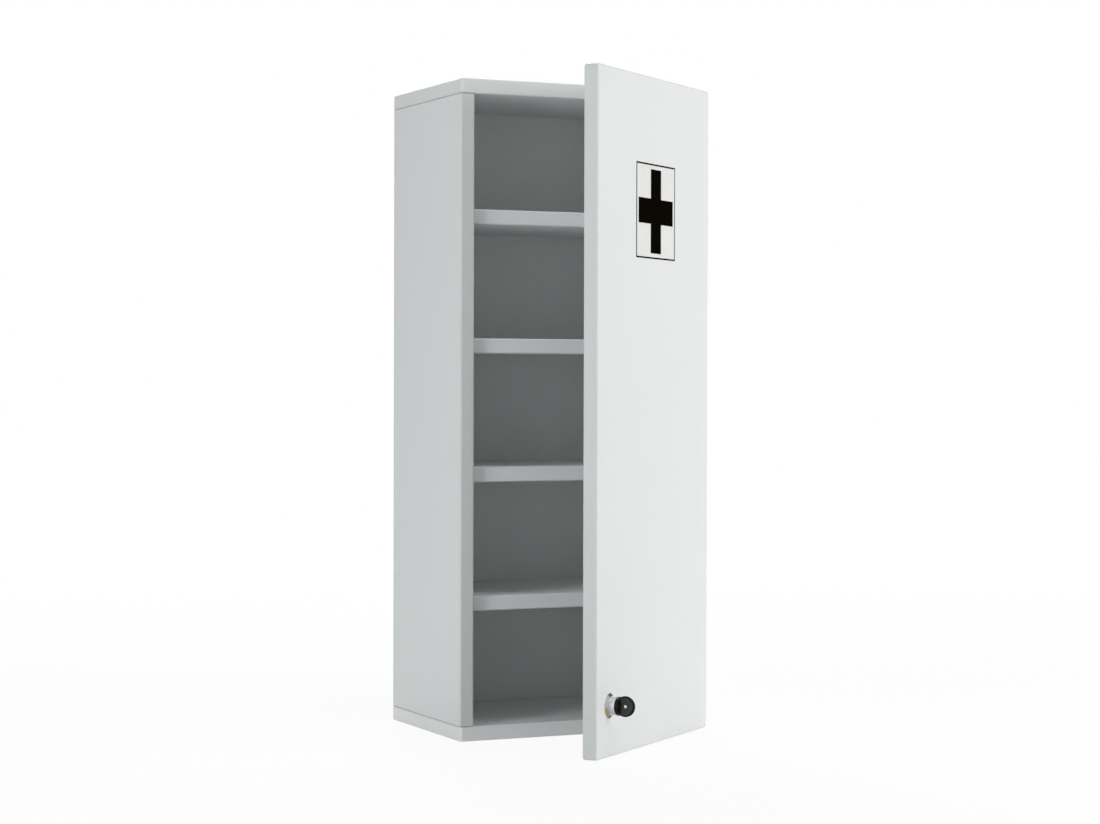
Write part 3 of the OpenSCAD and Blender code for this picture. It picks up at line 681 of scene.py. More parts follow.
@dataclass(frozen=True)
class ReflectionPaintedRing(Finish):
    """Chrome ring whose bevel has painted reflections on one side: dark, brown and grey zones beside clean
    chrome.
    """

    centre: tuple[float, float, float]
    turn: float
    bevel: float = 11.5 * MM
    bevel_blend: float = 0.1 * MM
    face_low: float = 0.35 * MM
    face_high: float = 0.45 * MM
    name: str = "aged_ring"
    chrome: Colour = shade(230, 230, 230)
    # Tones of the painted reflections on the bevel.
    dark: Colour = shade(80, 80, 70)
    brass: Colour = shade(150, 140, 110)
    dull: Colour = shade(170, 170, 170)
    # Zones round the bevel by shares of a turn: each tone, where it starts and where it ends. All but the
    # clean chrome are painted reflections.
    zones: tuple[tuple[str, float, float], ...] = (
        ("chrome", 0.0, 0.2), ("dark", 0.23, 0.3), ("brass", 0.34, 0.46), ("dull", 0.5, 0.66),
        ("dark", 0.7, 0.77), ("chrome", 0.8, 1.0),
    )

    def build(self, graph: ShaderGraph) -> Material:
        """Makes the ring's finish.

        Args:
            graph: The empty graph to build in.

        Returns:
            The material.
        """
        about = {"rotation_type": "Z_AXIS"}
        local = graph.node(
            "ShaderNodeVectorRotate", about, Vector=graph.place, Center=self.centre, Angle=self.turn
        )
        x, y, z = graph.axes(local)
        across, up, height = x - self.centre[0], z - self.centre[2], self.centre[1] - y
        share = up.arctan2(-across) * (1 / math.tau) + 0.5
        stops = tuple((end, getattr(self, tone)) for tone, *ends in self.zones for end in ends)
        # Painted reflection round the bevel, by angle.
        painted_reflection = graph.node("ShaderNodeValToRGB", {"stops": stops}, {0: share})
        outer = graph.length(across, up).ramp(self.bevel - self.bevel_blend, self.bevel)
        bevel = outer * height.ramp(self.face_low, self.face_high)
        cloud = graph.noise(5, 4, 0.6)
        scratches = graph.scratches()
        # The bevel carries the painted reflection; the rest stays clean chrome.
        return graph.finish(
            Base_Color=graph.mix(bevel, self.chrome, painted_reflection),
            Metallic=1.0,
            Roughness=cloud * 0.1 + scratches * 0.08 + bevel * 0.1 + 0.06,
            Normal=graph.bump(scratches, 0.004, 0.4),
        )


@dataclass(frozen=True)
class MouldedPlastic(Finish):
    """Black moulded plastic with a fine spark-eroded grain, lighter on the bow's faces as finger wear and
    painted sheen, with painted highlights on the collar's ends.
    """

    centre: tuple[float, float, float]
    outwards: tuple[float, float, float]
    face: float = 10.6 * MM
    face_blend: float = 0.5 * MM
    collar: float = 6.0 * MM
    collar_blend: float = 0.4 * MM
    end_low: float = 8.0 * MM
    end_high: float = 9.6 * MM
    name: str = "black_plastic"
    tone: Colour = shade(6, 7, 3)
    # Grey tones of the bow's faces: finger wear and painted sheen.
    dull: Colour = shade(50, 52, 46)
    worn: Colour = shade(68, 71, 64)
    # Painted highlight on the collar's top and bottom ends.
    rubbed: Colour = shade(104, 107, 100)
    slot: str = "key_plastic"

    def build(self, graph: ShaderGraph) -> Material:
        """Makes the plastic.

        Args:
            graph: The empty graph to build in.

        Returns:
            The material.
        """
        x, y, z = graph.axes(graph.place)
        along = (x - self.centre[0]) * self.outwards[0] + (y - self.centre[1]) * self.outwards[1]
        up = z - self.centre[2]
        on_bow = along.ramp(-self.collar - self.collar_blend, -self.collar + self.collar_blend)
        on_face = on_bow * (1.0 - graph.length(along, up).ramp(self.face - self.face_blend, self.face))
        # Painted highlight at the collar's top and bottom ends.
        painted_highlight_ends = (1.0 - on_bow) * abs(up).ramp(self.end_low, self.end_high)
        wear_and_sheen_mottle = graph.noise(2.0, 4, 0.62)
        # The bow's faces: finger wear and painted sheen.
        face = graph.mix(wear_and_sheen_mottle.ramp(0.3, 0.7), self.dull, self.worn)
        plain = graph.mix(painted_highlight_ends * wear_and_sheen_mottle.ramp(0.2, 0.6), self.tone, self.rubbed)
        return graph.finish(
            Base_Color=graph.mix(on_face, plain, face),
            Roughness=wear_and_sheen_mottle * 0.2 + on_face * 0.08 + 0.3,
            Normal=graph.bump(graph.noise(0.45), 0.05, 0.6),
            Specular_IOR_Level=0.12,
        )


@dataclass(frozen=True)
class Film(Finish):
    """Self-adhesive film or the ink on it."""

    name: str
    tone: Colour
    smoothest: float
    gloss: float
    dimmest: float = 0.955

    def build(self, graph: ShaderGraph) -> Material:
        """Makes the film."""
        cloud = graph.noise(40, 3) * 0.5 + graph.noise(0.6, 3, 0.7) * 0.5
        return graph.finish(
            Base_Color=graph.mix(cloud.ramp(0.3, 0.7), scaled(self.tone, self.dimmest), self.tone),
            Roughness=cloud * 0.1 + self.smoothest,
            Normal=graph.bump(graph.noise(2.2), 0.015, 0.5),
            Specular_IOR_Level=self.gloss,
        )


@dataclass(frozen=True)
class Silicone(Finish):
    """Clear, slightly milky silicone."""

    name: str = "silicone"
    tone: Colour = shade(222, 226, 228)
    dimmest: float = 0.92

    def build(self, graph: ShaderGraph) -> Material:
        """Makes the silicone."""
        milk = graph.noise(3)
        return graph.finish(
            Base_Color=graph.mix(milk, scaled(self.tone, self.dimmest), self.tone),
            Roughness=milk * 0.15 + 0.2,
            Transmission_Weight=0.4,
            IOR=1.41,
        )


NICKEL = PlatedSteel("nickel_plate", "nickel_steel", shade(206, 203, 196), shade(188, 184, 174), 0.14)
ZINC = PlatedSteel("zinc_plate", "zinc_steel", shade(192, 196, 200), shade(172, 176, 168), 0.22)
SATIN = Chrome("satin_chrome", 0.5, shade(196, 198, 200), shade(180, 183, 185))
SIGN_FILM = Film("sign_film", shade(233, 234, 231), 0.40, 0.4)
SIGN_INK = Film("sign_ink", shade(13, 10, 5), 0.55, 0.0)


# ---- Turned pieces at many places ----


def linked(name: str, data: bpy.types.ID) -> Piece:
    """Makes an object of some data and puts it in the scene.

    Args:
        name: The object's name.
        data: Its mesh, lamp or camera.

    Returns:
        The new object.
    """
    made = bpy.data.objects.new(name, data)
    bpy.context.scene.collection.objects.link(made)
    return made


def modified(piece: Piece, kind: str, **settings: object) -> bpy.types.Modifier:
    """Gives a piece a modifier with the given settings.

    Args:
        piece: The piece.
        kind: The modifier's kind.
        **settings: Its settings by name.

    Returns:
        The new modifier.
    """
    modifier = piece.modifiers.new(kind.lower(), kind)
    for key, setting in settings.items():
        setattr(modifier, key, setting)
    return modifier


def flattened(piece: Piece) -> None:
    """Turns a piece and its modifiers into a plain mesh.

    Args:
        piece: The piece, which has no modifiers afterwards.
    """
    view = bpy.context.evaluated_depsgraph_get()
    piece.data = bpy.data.meshes.new_from_object(piece.evaluated_get(view), depsgraph=view)
    piece.modifiers.clear()


def smooth_by_angle(mesh: bpy.types.Mesh, degrees: float = 32.0) -> None:
    """Shades a mesh smoothly, with the edges sharper than the angle kept."""
    mesh.shade_smooth()
    mesh.set_sharp_from_angle(angle=math.radians(degrees))


@dataclass(frozen=True)
class Place:
    """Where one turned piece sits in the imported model, and how large it is."""

    head: Vector
    facing: Vector
    radius: float
    length: float


Section = list[tuple[Value | float, Value | float]]


def dome(of: Sizes, *steps: tuple[float, float]) -> Section:
    """Corners of a head, by shares of its radius and of its height from the top, with the top's centre."""
    return [*((of.radius * across, of.head * -along) for across, along in steps), (0.0, 0.0)]


@dataclass(frozen=True)
class Turned:
    """A kind of small turned piece, made once by a tree and set at each of its places.

    Its own fields that are lengths are inputs of the tree, besides its radius and its length. The
    cross recess is given by its mouth and its depth, as shares of the radius.
    """

    finish: Finish
    seed: int = 1
    sides: int = 32
    recess: tuple[float, ...] = ()

    def section(self, of: Sizes) -> Section:
        """Radius and height of each corner, from the point upwards to the head at z = 0."""
        raise NotImplementedError

    def threaded(self, of: Sizes) -> tuple[Value, ...]:
        """Root radius, top and length of the thread, if there is one."""
        return ()

    def shape(self, graph: GeometryGraph) -> Value:
        """Draws the piece in its tree, with its head at z = 0 and its point downwards.

        Args:
            graph: The tree, whose inputs are the piece's sizes.

        Returns:
            The geometry.
        """
        of = graph.sizes
        body = graph.lathe(self.section(of), self.sides)
        if self.recess:
            body = graph.recessed(body, *(of.radius * share for share in self.recess))
        thread = self.threaded(of)
        if thread:
            ridge = graph.thread(*thread, of.pitch, of.ridge)
            body = graph.node("GeometryNodeJoinGeometry", Geometry=[body, ridge])
        return body

    def build(self, name: str, places: Sequence[Place]) -> Piece:
        """Makes one plain mesh with the piece at every place.

        Args:
            name: The new piece's name.
            places: Where the pieces sit. They share the first one's radius and length.

        Returns:
            The new object.
        """
        own = {key: size for key, size in vars(self).items() if isinstance(size, float)}
        values = {"radius": places[0].radius, "length": places[0].length, **own}
        graph = GeometryGraph(f"{name}_tree", tuple(values))
        graph.finish(self.shape(graph), self.finish, self.seed)
        mesh = bpy.data.meshes.new(name)
        mesh.from_pydata([place.head for place in places], [], [])
        facing = mesh.attributes.new(GeometryGraph.FACING, "FLOAT_VECTOR", "POINT")
        for number, place in enumerate(places):
            facing.data[number].vector = place.facing
        piece = linked(name, mesh)
        modifier = modified(piece, "NODES", node_group=graph.tree)
        for socket in graph.tree.interface.items_tree:
            if socket.in_out == "INPUT" and socket.name in values:
                modifier[socket.identifier] = values[socket.name]
        flattened(piece)
        piece.data.name = name
        smooth_by_angle(piece.data)
        LOG.info("%s: %d places, %d faces", name, len(places), len(piece.data.polygons))
        return piece


@dataclass(frozen=True)
class CountersunkScrew(Turned):
    """Wood screw with a flat head and a cross recess."""

    recess: tuple[float, ...] = (1.25, 0.42)
    pitch: float = 1.6 * MM
    ridge: float = 0.45 * MM
    point: float = 3.0 * MM
    neck: float = 0.4 * MM

    def section(self, of: Sizes) -> Section:
        """Draws the point, the shank and the cone.

        Args:
            of: The sizes that the tree reads.

        Returns:
            The corners, from the point to the head.
        """
        shank, end = of.radius * 0.5 - of.ridge, -of.length
        return [
            (0.0, end), (0.1 * MM, end), (shank, end + of.point), (shank, of.radius * -0.5 - of.neck),
            (of.radius * 0.97, -0.28 * MM), (of.radius - 0.03 * MM, -0.12 * MM), (of.radius * 0.94, 0.0),
            (0.0, 0.0),
        ]

    def threaded(self, of: Sizes) -> tuple[Value, ...]:
        """The thread, from below the cone to the point."""
        run = of.length - of.radius * 0.5 - of.point - of.neck
        return of.radius * 0.5 - of.ridge, of.radius * -0.5 - of.neck * 1.5, run


@dataclass(frozen=True)
class PanScrew(Turned):
    """Machine screw with a low domed head and a cross recess."""

    recess: tuple[float, ...] = (1.15, 0.36)
    head: float = 2.2 * MM
    shank: float = 2.0 * MM
    pitch: float = 0.7 * MM
    ridge: float = 0.25 * MM
    lead: float = 0.4 * MM

    def section(self, of: Sizes) -> Section:
        """Draws the shank and the domed head.

        Args:
            of: The sizes that the tree reads.

        Returns:
            The corners, from the point to the head.
        """
        root, end, under, edge = of.shank - of.ridge, -of.length, -of.head, of.lead * 0.5
        return [
            (0.0, end), (root - of.lead, end), (root, end + of.lead), (root, under),
            (of.radius - edge, under), (of.radius, under + edge),
            *dome(of, (1.0, 0.45), (0.94, 0.22), (0.78, 0.07), (0.5, 0.01)),
        ]

    def threaded(self, of: Sizes) -> tuple[Value, ...]:
        """The thread, from below the head to the end."""
        return of.shank - of.ridge, -of.head - of.lead, of.length - of.head - of.lead * 2.5


@dataclass(frozen=True)
class Nail(Turned):
    """Fine nail with a domed head."""

    head: float = 0.8 * MM
    point: float = 2.5 * MM

    def section(self, of: Sizes) -> Section:
        """Draws the nail.

        Args:
            of: The sizes that the tree reads.

        Returns:
            The corners, from the point to the head.
        """
        shank = of.radius * 0.47
        head = dome(of, (0.9, 0.8), (1.0, 0.5), (0.9, 0.2), (0.55, 0.05))
        return [(0.0, -of.length), (shank, -of.length + of.point), (shank, -of.head), *head]


@dataclass(frozen=True)
class Plain(Turned):
    """Plain turned piece, drawn by shares of its radius and of its length from the head."""

    steps: tuple[tuple[float, float], ...] = ()

    def section(self, of: Sizes) -> Section:
        """Draws the piece."""
        return [(of.radius * across, of.length * -along) for across, along in self.steps]


SHELF_PIN = Plain(NICKEL, seed=3, steps=(
    (0.0, 1.0), (0.8, 1.0), (0.94, 0.985), (1.0, 0.955), (1.0, 0.54), (0.9, 0.51), (0.9, 0.49), (1.0, 0.46),
    (1.0, 0.045), (0.94, 0.015), (0.8, 0.0), (0.0, 0.0),
))
COVER_CAP = Plain(Edging("cap_plastic"), steps=(
    (0.0, 1.0), (0.97, 1.0), (1.0, 0.9), (1.0, 0.3), (0.985, 0.2), (0.95, 0.13), (0.88, 0.08), (0.6, 0.03),
    (0.0, 0.0),
))
SETTING_SCREW = Plain(ZINC, seed=15, recess=(1.4, 0.5), steps=(
    (0.0, 1.0), (0.8, 1.0), (1.0, 0.88), (1.0, 0.1), (0.86, 0.0), (0.0, 0.0),
))


# ---- Assemblies ----


@dataclass
class Assembly:
    """A group of pieces that one class builds and dresses."""

    frame: dict[str, object]

    @property
    def nodes(self) -> dict[str, Piece]:
        """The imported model's pieces by name."""
        return self.frame["nodes"]

    def corners(self, name: str, into: Matrix) -> list[Vector]:
        """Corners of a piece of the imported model, turned into another frame."""
        return [into @ vertex.co for vertex in self.nodes[name].data.vertices]

    def joint(self, name: str) -> dict[str, object]:
        """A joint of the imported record."""
        return next(j for j in self.frame["record"]["behaviour"]["joints"] if j["name"] == name)

    def door_outwards(self) -> Vector:
        """The direction out of the door's face, which is the lock's axis too."""
        return Vector(self.joint("lock_turn")["axis"]).normalized()

    def door_turn(self) -> float:
        """The angle about Z that turns the door back to closed."""
        out = self.door_outwards()
        return math.atan2(-out.x, -out.y)

    def lock_frame(self) -> Matrix:
        """Turns the lock's own frame, X along the door, Y up and Z outwards, into the cabinet's.

        Returns:
            The lock's turn and place in the cabinet.
        """
        out = self.door_outwards()
        up = Vector((0, 0, 1))
        turn = Matrix((up.cross(out), up, out)).transposed().to_4x4()
        return Matrix.Translation(self.joint("lock_turn")["pos_m"]) @ turn

    def dress(self, finish: Finish, *names: str) -> None:
        """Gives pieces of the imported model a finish.

        Args:
            finish: The finish.
            *names: The pieces' names.
        """
        for name in names:
            mesh = self.nodes[name].data
            mesh.materials.clear()
            mesh.materials.append(finish.material())
            LOG.info("%s: %s", name, finish.name)

    def add(self, piece: Piece, body: str, finish: Finish, *replaced: str) -> None:
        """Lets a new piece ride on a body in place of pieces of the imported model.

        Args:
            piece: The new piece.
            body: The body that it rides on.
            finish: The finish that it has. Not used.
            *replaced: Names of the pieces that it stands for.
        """
        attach(piece, body)
        if replaced:
            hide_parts(*replaced)
        LOG.info("%s: new, on %s", piece.name, body)

    def mesh_piece(self, name: str, mesh: EditMesh, finish: Finish) -> Piece:
        """Turns an edited mesh, which is freed, into a finished piece.

        Args:
            name: The piece's name.
            mesh: The mesh.
            finish: Its finish.

        Returns:
            The new object.
        """
        bmesh.ops.recalc_face_normals(mesh, faces=mesh.faces)
        data = bpy.data.meshes.new(name)
        mesh.to_mesh(data)
        mesh.free()
        data.materials.append(finish.material())
        smooth_by_angle(data)
        return linked(name, data)

    def soften(self, name: str, body: str, finish: Finish, width: float, segments: int = 2) -> None:
        """Replaces a metal or plastic piece by a copy whose edges are rounded as pressing leaves them.

        Args:
            name: The piece's name.
            body: The body that it rides on.
            finish: Its finish.
            width: Width of the rounding.
            segments: Number of steps in the rounding.
        """
        flat, edge = math.radians(0.5), math.radians(40)
        mesh = bmesh.new()
        mesh.from_mesh(self.nodes[name].data)
        bmesh.ops.remove_doubles(mesh, verts=mesh.verts, dist=WELD)
        bmesh.ops.dissolve_limit(
            mesh, angle_limit=flat, verts=mesh.verts, edges=mesh.edges, delimit={"NORMAL"}
        )
        piece = self.mesh_piece(f"{name}_rounded", mesh, finish)
        modified(
            piece, "BEVEL", limit_method="ANGLE", angle_limit=edge, width=width, segments=segments,
            use_clamp_overlap=True, miter_outer="MITER_ARC",
        )
        modified(piece, "WEIGHTED_NORMAL", keep_sharp=True, weight=100)
        flattened(piece)
        self.add(piece, body, finish, name)

    def solids(self, name: str) -> list[list[Vector]]:
        """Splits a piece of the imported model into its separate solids, each a list of corners.

        Args:
            name: The piece's name.

        Returns:
            The corners of each solid, sorted by where its middle lies.
        """
        whole = bmesh.new()
        whole.from_mesh(self.nodes[name].data)
        bmesh.ops.remove_doubles(whole, verts=whole.verts, dist=WELD / 2)
        waiting, groups = set(whole.verts), []
        while waiting:
            reached = [waiting.pop()]
            group = []
            while reached:
                corner = reached.pop()
                group.append(corner.co.copy())
                for edge in corner.link_edges:
                    other = edge.other_vert(corner)
                    if other in waiting:
                        waiting.remove(other)
                        reached.append(other)
            groups.append(group)
        whole.free()
        return sorted(groups, key=lambda group: tuple(round(v, 4) for v in sum(group, Vector()) / len(group)))

    def places(self, name: str, axis: Vector, head_outwards: bool = False) -> list[Place]:
        """Finds where the turned solids of a piece sit.

        Args:
            name: The piece's name.
            axis: The line that their axes run along.
            head_outwards: Whether the head is the end away from the cabinet's middle, not the wider end.

        Returns:
            One place for each solid.
        """
        end_slice = 0.6 * MM
        axis = axis.normalized()
        side = axis.orthogonal().normalized()
        lines = (axis, side, axis.cross(side))
        centre_along = (sum(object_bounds(), Vector()) / 2).dot(axis)
        found = []
        for corners in self.solids(name):
            spans = [(min(c.dot(line) for c in corners), max(c.dot(line) for c in corners)) for line in lines]
            middle = sum((line * (sum(span) / 2) for line, span in zip(lines[1:], spans[1:])), Vector())
            low, high = spans[0]
            rims = [[c for c in corners if abs(c.dot(axis) - end) < end_slice] for end in (low, high)]
            at_low, at_high = (max((c - middle - axis * c.dot(axis)).length for c in rim) for rim in rims)
            up = (low + high) / 2 > centre_along if head_outwards else at_high >= at_low
            head = middle + axis * (high if up else low)
            found.append(Place(head, axis if up else -axis, max(at_low, at_high), high - low))
        return found

    def repeat(self, kind: Turned, name: str, body: str, axis: Vector, head_outwards: bool = False) -> None:
        """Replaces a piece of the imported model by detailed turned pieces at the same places.

        Args:
            kind: The kind of piece.
            name: The piece that it replaces.
            body: The body that it rides on.
            axis: The line that the pieces' axes run along.
            head_outwards: Whether the end away from the cabinet's middle is the head.
        """
        piece = kind.build(f"{name}_turned", self.places(name, axis, head_outwards))
        self.add(piece, body, kind.finish, name)


@dataclass
class Carcass(Assembly):
    """Side, end and back boards, shelves, edging, and what holds them."""

    shelves: tuple[str, ...] = ("shelf_1", "shelf_2", "shelf_3", "shelf_4")
    # Strengths and width of the lines of dirt and painted shadow at the back panel's face and at the seams.
    rear_soil: float = 0.16
    rear_soil_width: float = 2.4 * MM
    seam_soil: float = 0.5
    plate_rounding: float = 0.3 * MM

    @staticmethod
    def span(name: str, axis: Across) -> tuple[float, float]:
        """Lowest and highest place of a piece along one axis."""
        low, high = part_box(name)
        return low[axis.value], high[axis.value]

    def build(self) -> None:
        """Builds and dresses the carcass."""
        self.boards()
        self.fasteners()

    def boards(self) -> None:
        """Dresses the boards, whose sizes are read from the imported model."""
        side_low, side_high = self.span("right_side", Across.X)
        top_low, height = self.span("top_panel", Across.Z)
        first, second = (self.span(name, Across.Z) for name in self.shelves[:2])
        inner_y = self.span("back_panel", Across.Y)[0]
        board, side, end = side_high - side_low, (side_low + side_high) / 2, (height - top_low) / 2
        # Lines of dirt and painted shadow at the back panel's face and where the side boards meet the end
        # boards.
        rear = DirtAndShadeLine(Across.Y, inner_y, self.rear_soil, self.rear_soil_width)
        seams = tuple(DirtAndShadeLine(Across.Z, z, self.seam_soil) for z in (board, height - board))
        for name, middle in (("left", -side), ("right", side)):
            finish = Laminate(f"{name}_board", Across.X, middle, board, soil=(rear, *seams))
            self.dress(finish, f"{name}_side")
        for name, middle in (("bottom", end), ("top", height - end)):
            self.dress(Laminate(f"{name}_board", Across.Z, middle, board), f"{name}_panel")
        shelf = Laminate("shelf_board", Across.Z, sum(first) / 2, board, period=second[0] - first[0])
        self.dress(shelf, *self.shelves)
        # The edgings are one white plastic. Their tones differ as painted light and shade: the bottom edging
        # is lighter as painted bounce light from the floor, the side edging darker as painted shade, and the
        # top and shelf edgings fall in between.
        self.dress(Edging("side_edging_plastic", soil=seams), "side_edging")
        self.dress(Edging("top_edging_plastic", shade(232, 233, 233), (rear,)), "top_edging")
        self.dress(Edging("bottom_edging_plastic", shade(247, 248, 248), (rear,)), "bottom_edging")
        self.dress(Edging("shelf_edging_plastic", shade(234, 235, 238)), "shelf_edging")
        self.dress(Hardboard(inner_y), "back_panel")

    def fasteners(self) -> None:
        """Makes the screws, nails, pins, caps and plates."""
        x, y, z = (Vector(line) for line in ((1, 0, 0), (0, 1, 0), (0, 0, 1)))
        self.repeat(SHELF_PIN, "shelf_pins", "carcass", x, head_outwards=True)
        self.repeat(COVER_CAP, "cover_caps", "carcass", z, head_outwards=True)
        self.repeat(Nail(ZINC, seed=5, sides=20), "back_nails", "carcass", y)
        self.repeat(CountersunkScrew(ZINC, seed=7), "hanger_screws", "carcass", y)
        self.repeat(CountersunkScrew(ZINC, seed=9), "strike_screws", "carcass", x)
        self.dress(ZINC, "carcass_screws")
        for name in ("hanger_left", "hanger_right", "strike_plate"):
            self.soften(name, "carcass", ZINC, self.plate_rounding)


@dataclass
class Door(Assembly):
    """The door board with its edging, bumpers and sign."""

    def build(self) -> None:
        """Dresses the door."""
        turn = self.door_turn()
        depths = [corner.y for corner in self.corners("door_panel", Matrix.Rotation(turn, 4, "Z"))]
        rear, face = min(depths), max(depths)
        self.dress(Laminate("door_board", Across.Y, (rear + face) / 2, face - rear, turn=turn), "door_panel")
        # The door edging keeps the darker default tone as painted shade.
        self.dress(Edging(), "door_edging")
        self.dress(Silicone(), "door_bumpers")
        self.dress(SIGN_FILM, "sign_label")
        self.dress(SIGN_INK, "sign_print")


@dataclass
class Hinges(Assembly):
    """The two concealed hinges."""

    sheet_rounding: float = 0.35 * MM
    cup_rounding: float = 0.25 * MM

    def build(self) -> None:
        """Builds and dresses the hinges."""
        x, out = Vector((1, 0, 0)), self.door_outwards()
        for place in ("upper", "lower"):
            self.soften(f"hinge_plate_{place}", "carcass", NICKEL, self.sheet_rounding)
            self.soften(f"hinge_arm_{place}", "carcass", NICKEL, self.sheet_rounding)
            self.soften(f"hinge_cup_{place}", "door", NICKEL, self.cup_rounding)
        self.dress(ZINC, "hinge_pins")
        self.repeat(CountersunkScrew(ZINC, seed=11), "hinge_plate_screws", "carcass", x)
        self.repeat(CountersunkScrew(ZINC, seed=13), "hinge_cup_screws", "door", out)
        screws = sorted(self.places("hinge_arm_screws", x), key=lambda place: place.radius)
        middle = len(screws) // 2
        inward = [self.inward(place) for place in screws[:middle]]
        setting = SETTING_SCREW.build("hinge_setting_screws", inward)
        fixing = PanScrew(ZINC, seed=17).build("hinge_fixing_screws", screws[middle:])
        self.add(setting, "carcass", ZINC)
        self.add(fixing, "carcass", ZINC, "hinge_arm_screws")

    @staticmethod
    def inward(place: Place) -> Place:
        """Turns a headless screw so that its recess faces away from the side board.

        Args:
            place: Where the screw sits.

        Returns:
            The place, with the head at its inner end.
        """
        if place.facing.x < 0:
            return place
        return Place(place.head - place.facing * place.length, -place.facing, place.radius, place.length)


# The rings of a tube: for each its height and its radius, or its radius at each step.
Outline = list[tuple[float, float | list[float]]]


@dataclass
class Lock(Assembly):
    """The cam lock: ring, threaded barrel, nut, plug and cam."""

    head_radius: float = 10.5 * MM
    head_chamfer: float = 0.6 * MM
    barrel_radius: float = 9.5 * MM
    flat: float = 7.98 * MM
    bore: float = 7.05 * MM
    groove_depth: float = 0.15 * MM
    groove_near: float = 0.35 * MM
    groove_far: float = 1.2 * MM
    mouth_chamfer: float = 0.1 * MM
    pitch: float = 1.0 * MM
    ridge: float = 0.55 * MM
    ridge_slope: float = 1.6
    ridge_root: float = 0.2
    thread_start: float = 0.3 * MM
    thread_fade: float = 1.2 * MM
    thread_top: float = -0.2 * MM
    nut_chamfer: float = 0.9 * MM
    nut_across: float = 0.985
    nut_spread: float = 0.17
    nut_play: float = 0.12 * MM
    hole_chamfer: float = 0.5 * MM
    plug_rounding: float = 0.2 * MM
    cam_rounding: float = 0.3 * MM
    steps_round: int = 96
    steps_pitch: int = 8
    steps_chamfer: int = 6

    def build(self) -> None:
        """Builds and dresses the lock."""
        place = self.lock_frame()
        # The ring's bevel carries painted reflections.
        self.dress(ReflectionPaintedRing(tuple(place.translation), self.door_turn()), "lock_ring")
        barrel, nut = (self.tube(outline, place) for outline in (self.barrel(place), self.nut(place)))
        self.add(self.mesh_piece("lock_barrel_threaded", barrel, SATIN), "door", SATIN, "lock_barrel")
        self.add(self.mesh_piece("lock_nut_chamfered", nut, ZINC), "door", ZINC, "lock_nut")
        self.soften("lock_plug", "plug", Chrome(), self.plug_rounding)
        self.soften("lock_cam", "plug", ZINC, self.cam_rounding)
        cam_screw = PanScrew(ZINC, seed=19, head=2.4 * MM, shank=1.6 * MM)
        self.repeat(cam_screw, "cam_screw", "plug", self.door_outwards())

    def depths(self, name: str, place: Matrix) -> tuple[float, float]:
        """Lowest and highest place of a piece along the lock's axis."""
        along = [corner.z for corner in self.corners(name, place.inverted())]
        return min(along), max(along)

    def tube(self, outline: Outline, place: Matrix) -> EditMesh:
        """Joins rings of corners to a closed tube.

        Args:
            outline: The rings.
            place: Where the lock's frame sits.

        Returns:
            The tube.
        """
        mesh = bmesh.new()
        steps = self.steps_round
        made = []
        for height, radii in outline:
            each = [radii] * steps if isinstance(radii, float) else radii
            ring = (self.held(radius, math.tau * step / steps) for step, radius in enumerate(each))
            made.append([mesh.verts.new(place @ Vector((*corner, height))) for corner in ring])
        for lower, upper in zip(made, made[1:] + made[:1]):
            for step in range(steps):
                after = (step + 1) % steps
                mesh.faces.new((lower[step], lower[after], upper[after], upper[step]))
        return mesh

    def held(self, radius: float, angle: float) -> tuple[float, float]:
        """A corner at a radius and an angle, kept within the barrel's two flats unless it is on the head.

        Args:
            radius: The corner's distance from the lock's axis.
            angle: Its angle about the axis.

        Returns:
            The two coordinates of the corner.
        """
        x, y = radius * math.cos(angle), radius * math.sin(angle)
        if self.bore * 1.01 < radius <= self.barrel_radius * 1.001:
            x = max(-self.flat, min(self.flat, x))
        return x, y

    def barrel(self, place: Matrix) -> Outline:
        """Draws the barrel with its flats, its thread and its polished head.

        Args:
            place: Where the lock's frame sits.

        Returns:
            The rings of the barrel.
        """
        end, face = self.depths("lock_barrel", place)
        seat = self.depths("lock_ring", place)[1]
        steps, root = self.steps_round, self.barrel_radius - self.ridge
        outline = [(end, self.bore), (end, root)]
        height = end + self.thread_start
        while height < self.thread_top:
            radii = []
            for step in range(steps):
                phase = (height / self.pitch + step / steps) % 1.0
                crest = self.ridge_slope * (1 - abs(2 * phase - 1)) - self.ridge_root
                fade = min(1.0, (height - end) / self.thread_fade)
                radii.append(self.barrel_radius - self.ridge * (1 - min(1.0, max(0.0, crest)) * fade))
            outline.append((height, radii))
            height += self.pitch / self.steps_pitch
        outline += [(0.0, self.barrel_radius), (seat, self.barrel_radius), (seat, self.head_radius)]
        for part in range(self.steps_chamfer + 1):
            angle = math.pi / 2 * part / self.steps_chamfer
            drop, inset = (self.head_chamfer * (1 - turn(angle)) for turn in (math.sin, math.cos))
            outline.append((face - drop, self.head_radius - inset))
        deep, mouth = self.groove_depth, self.mouth_chamfer
        near, far = self.bore + self.groove_near, self.bore + self.groove_far
        outline += [
            (face, far), (face - deep, far - deep), (face - deep, near + deep), (face, near),
            (face, self.bore + mouth), (face - mouth, self.bore),
        ]
        return outline

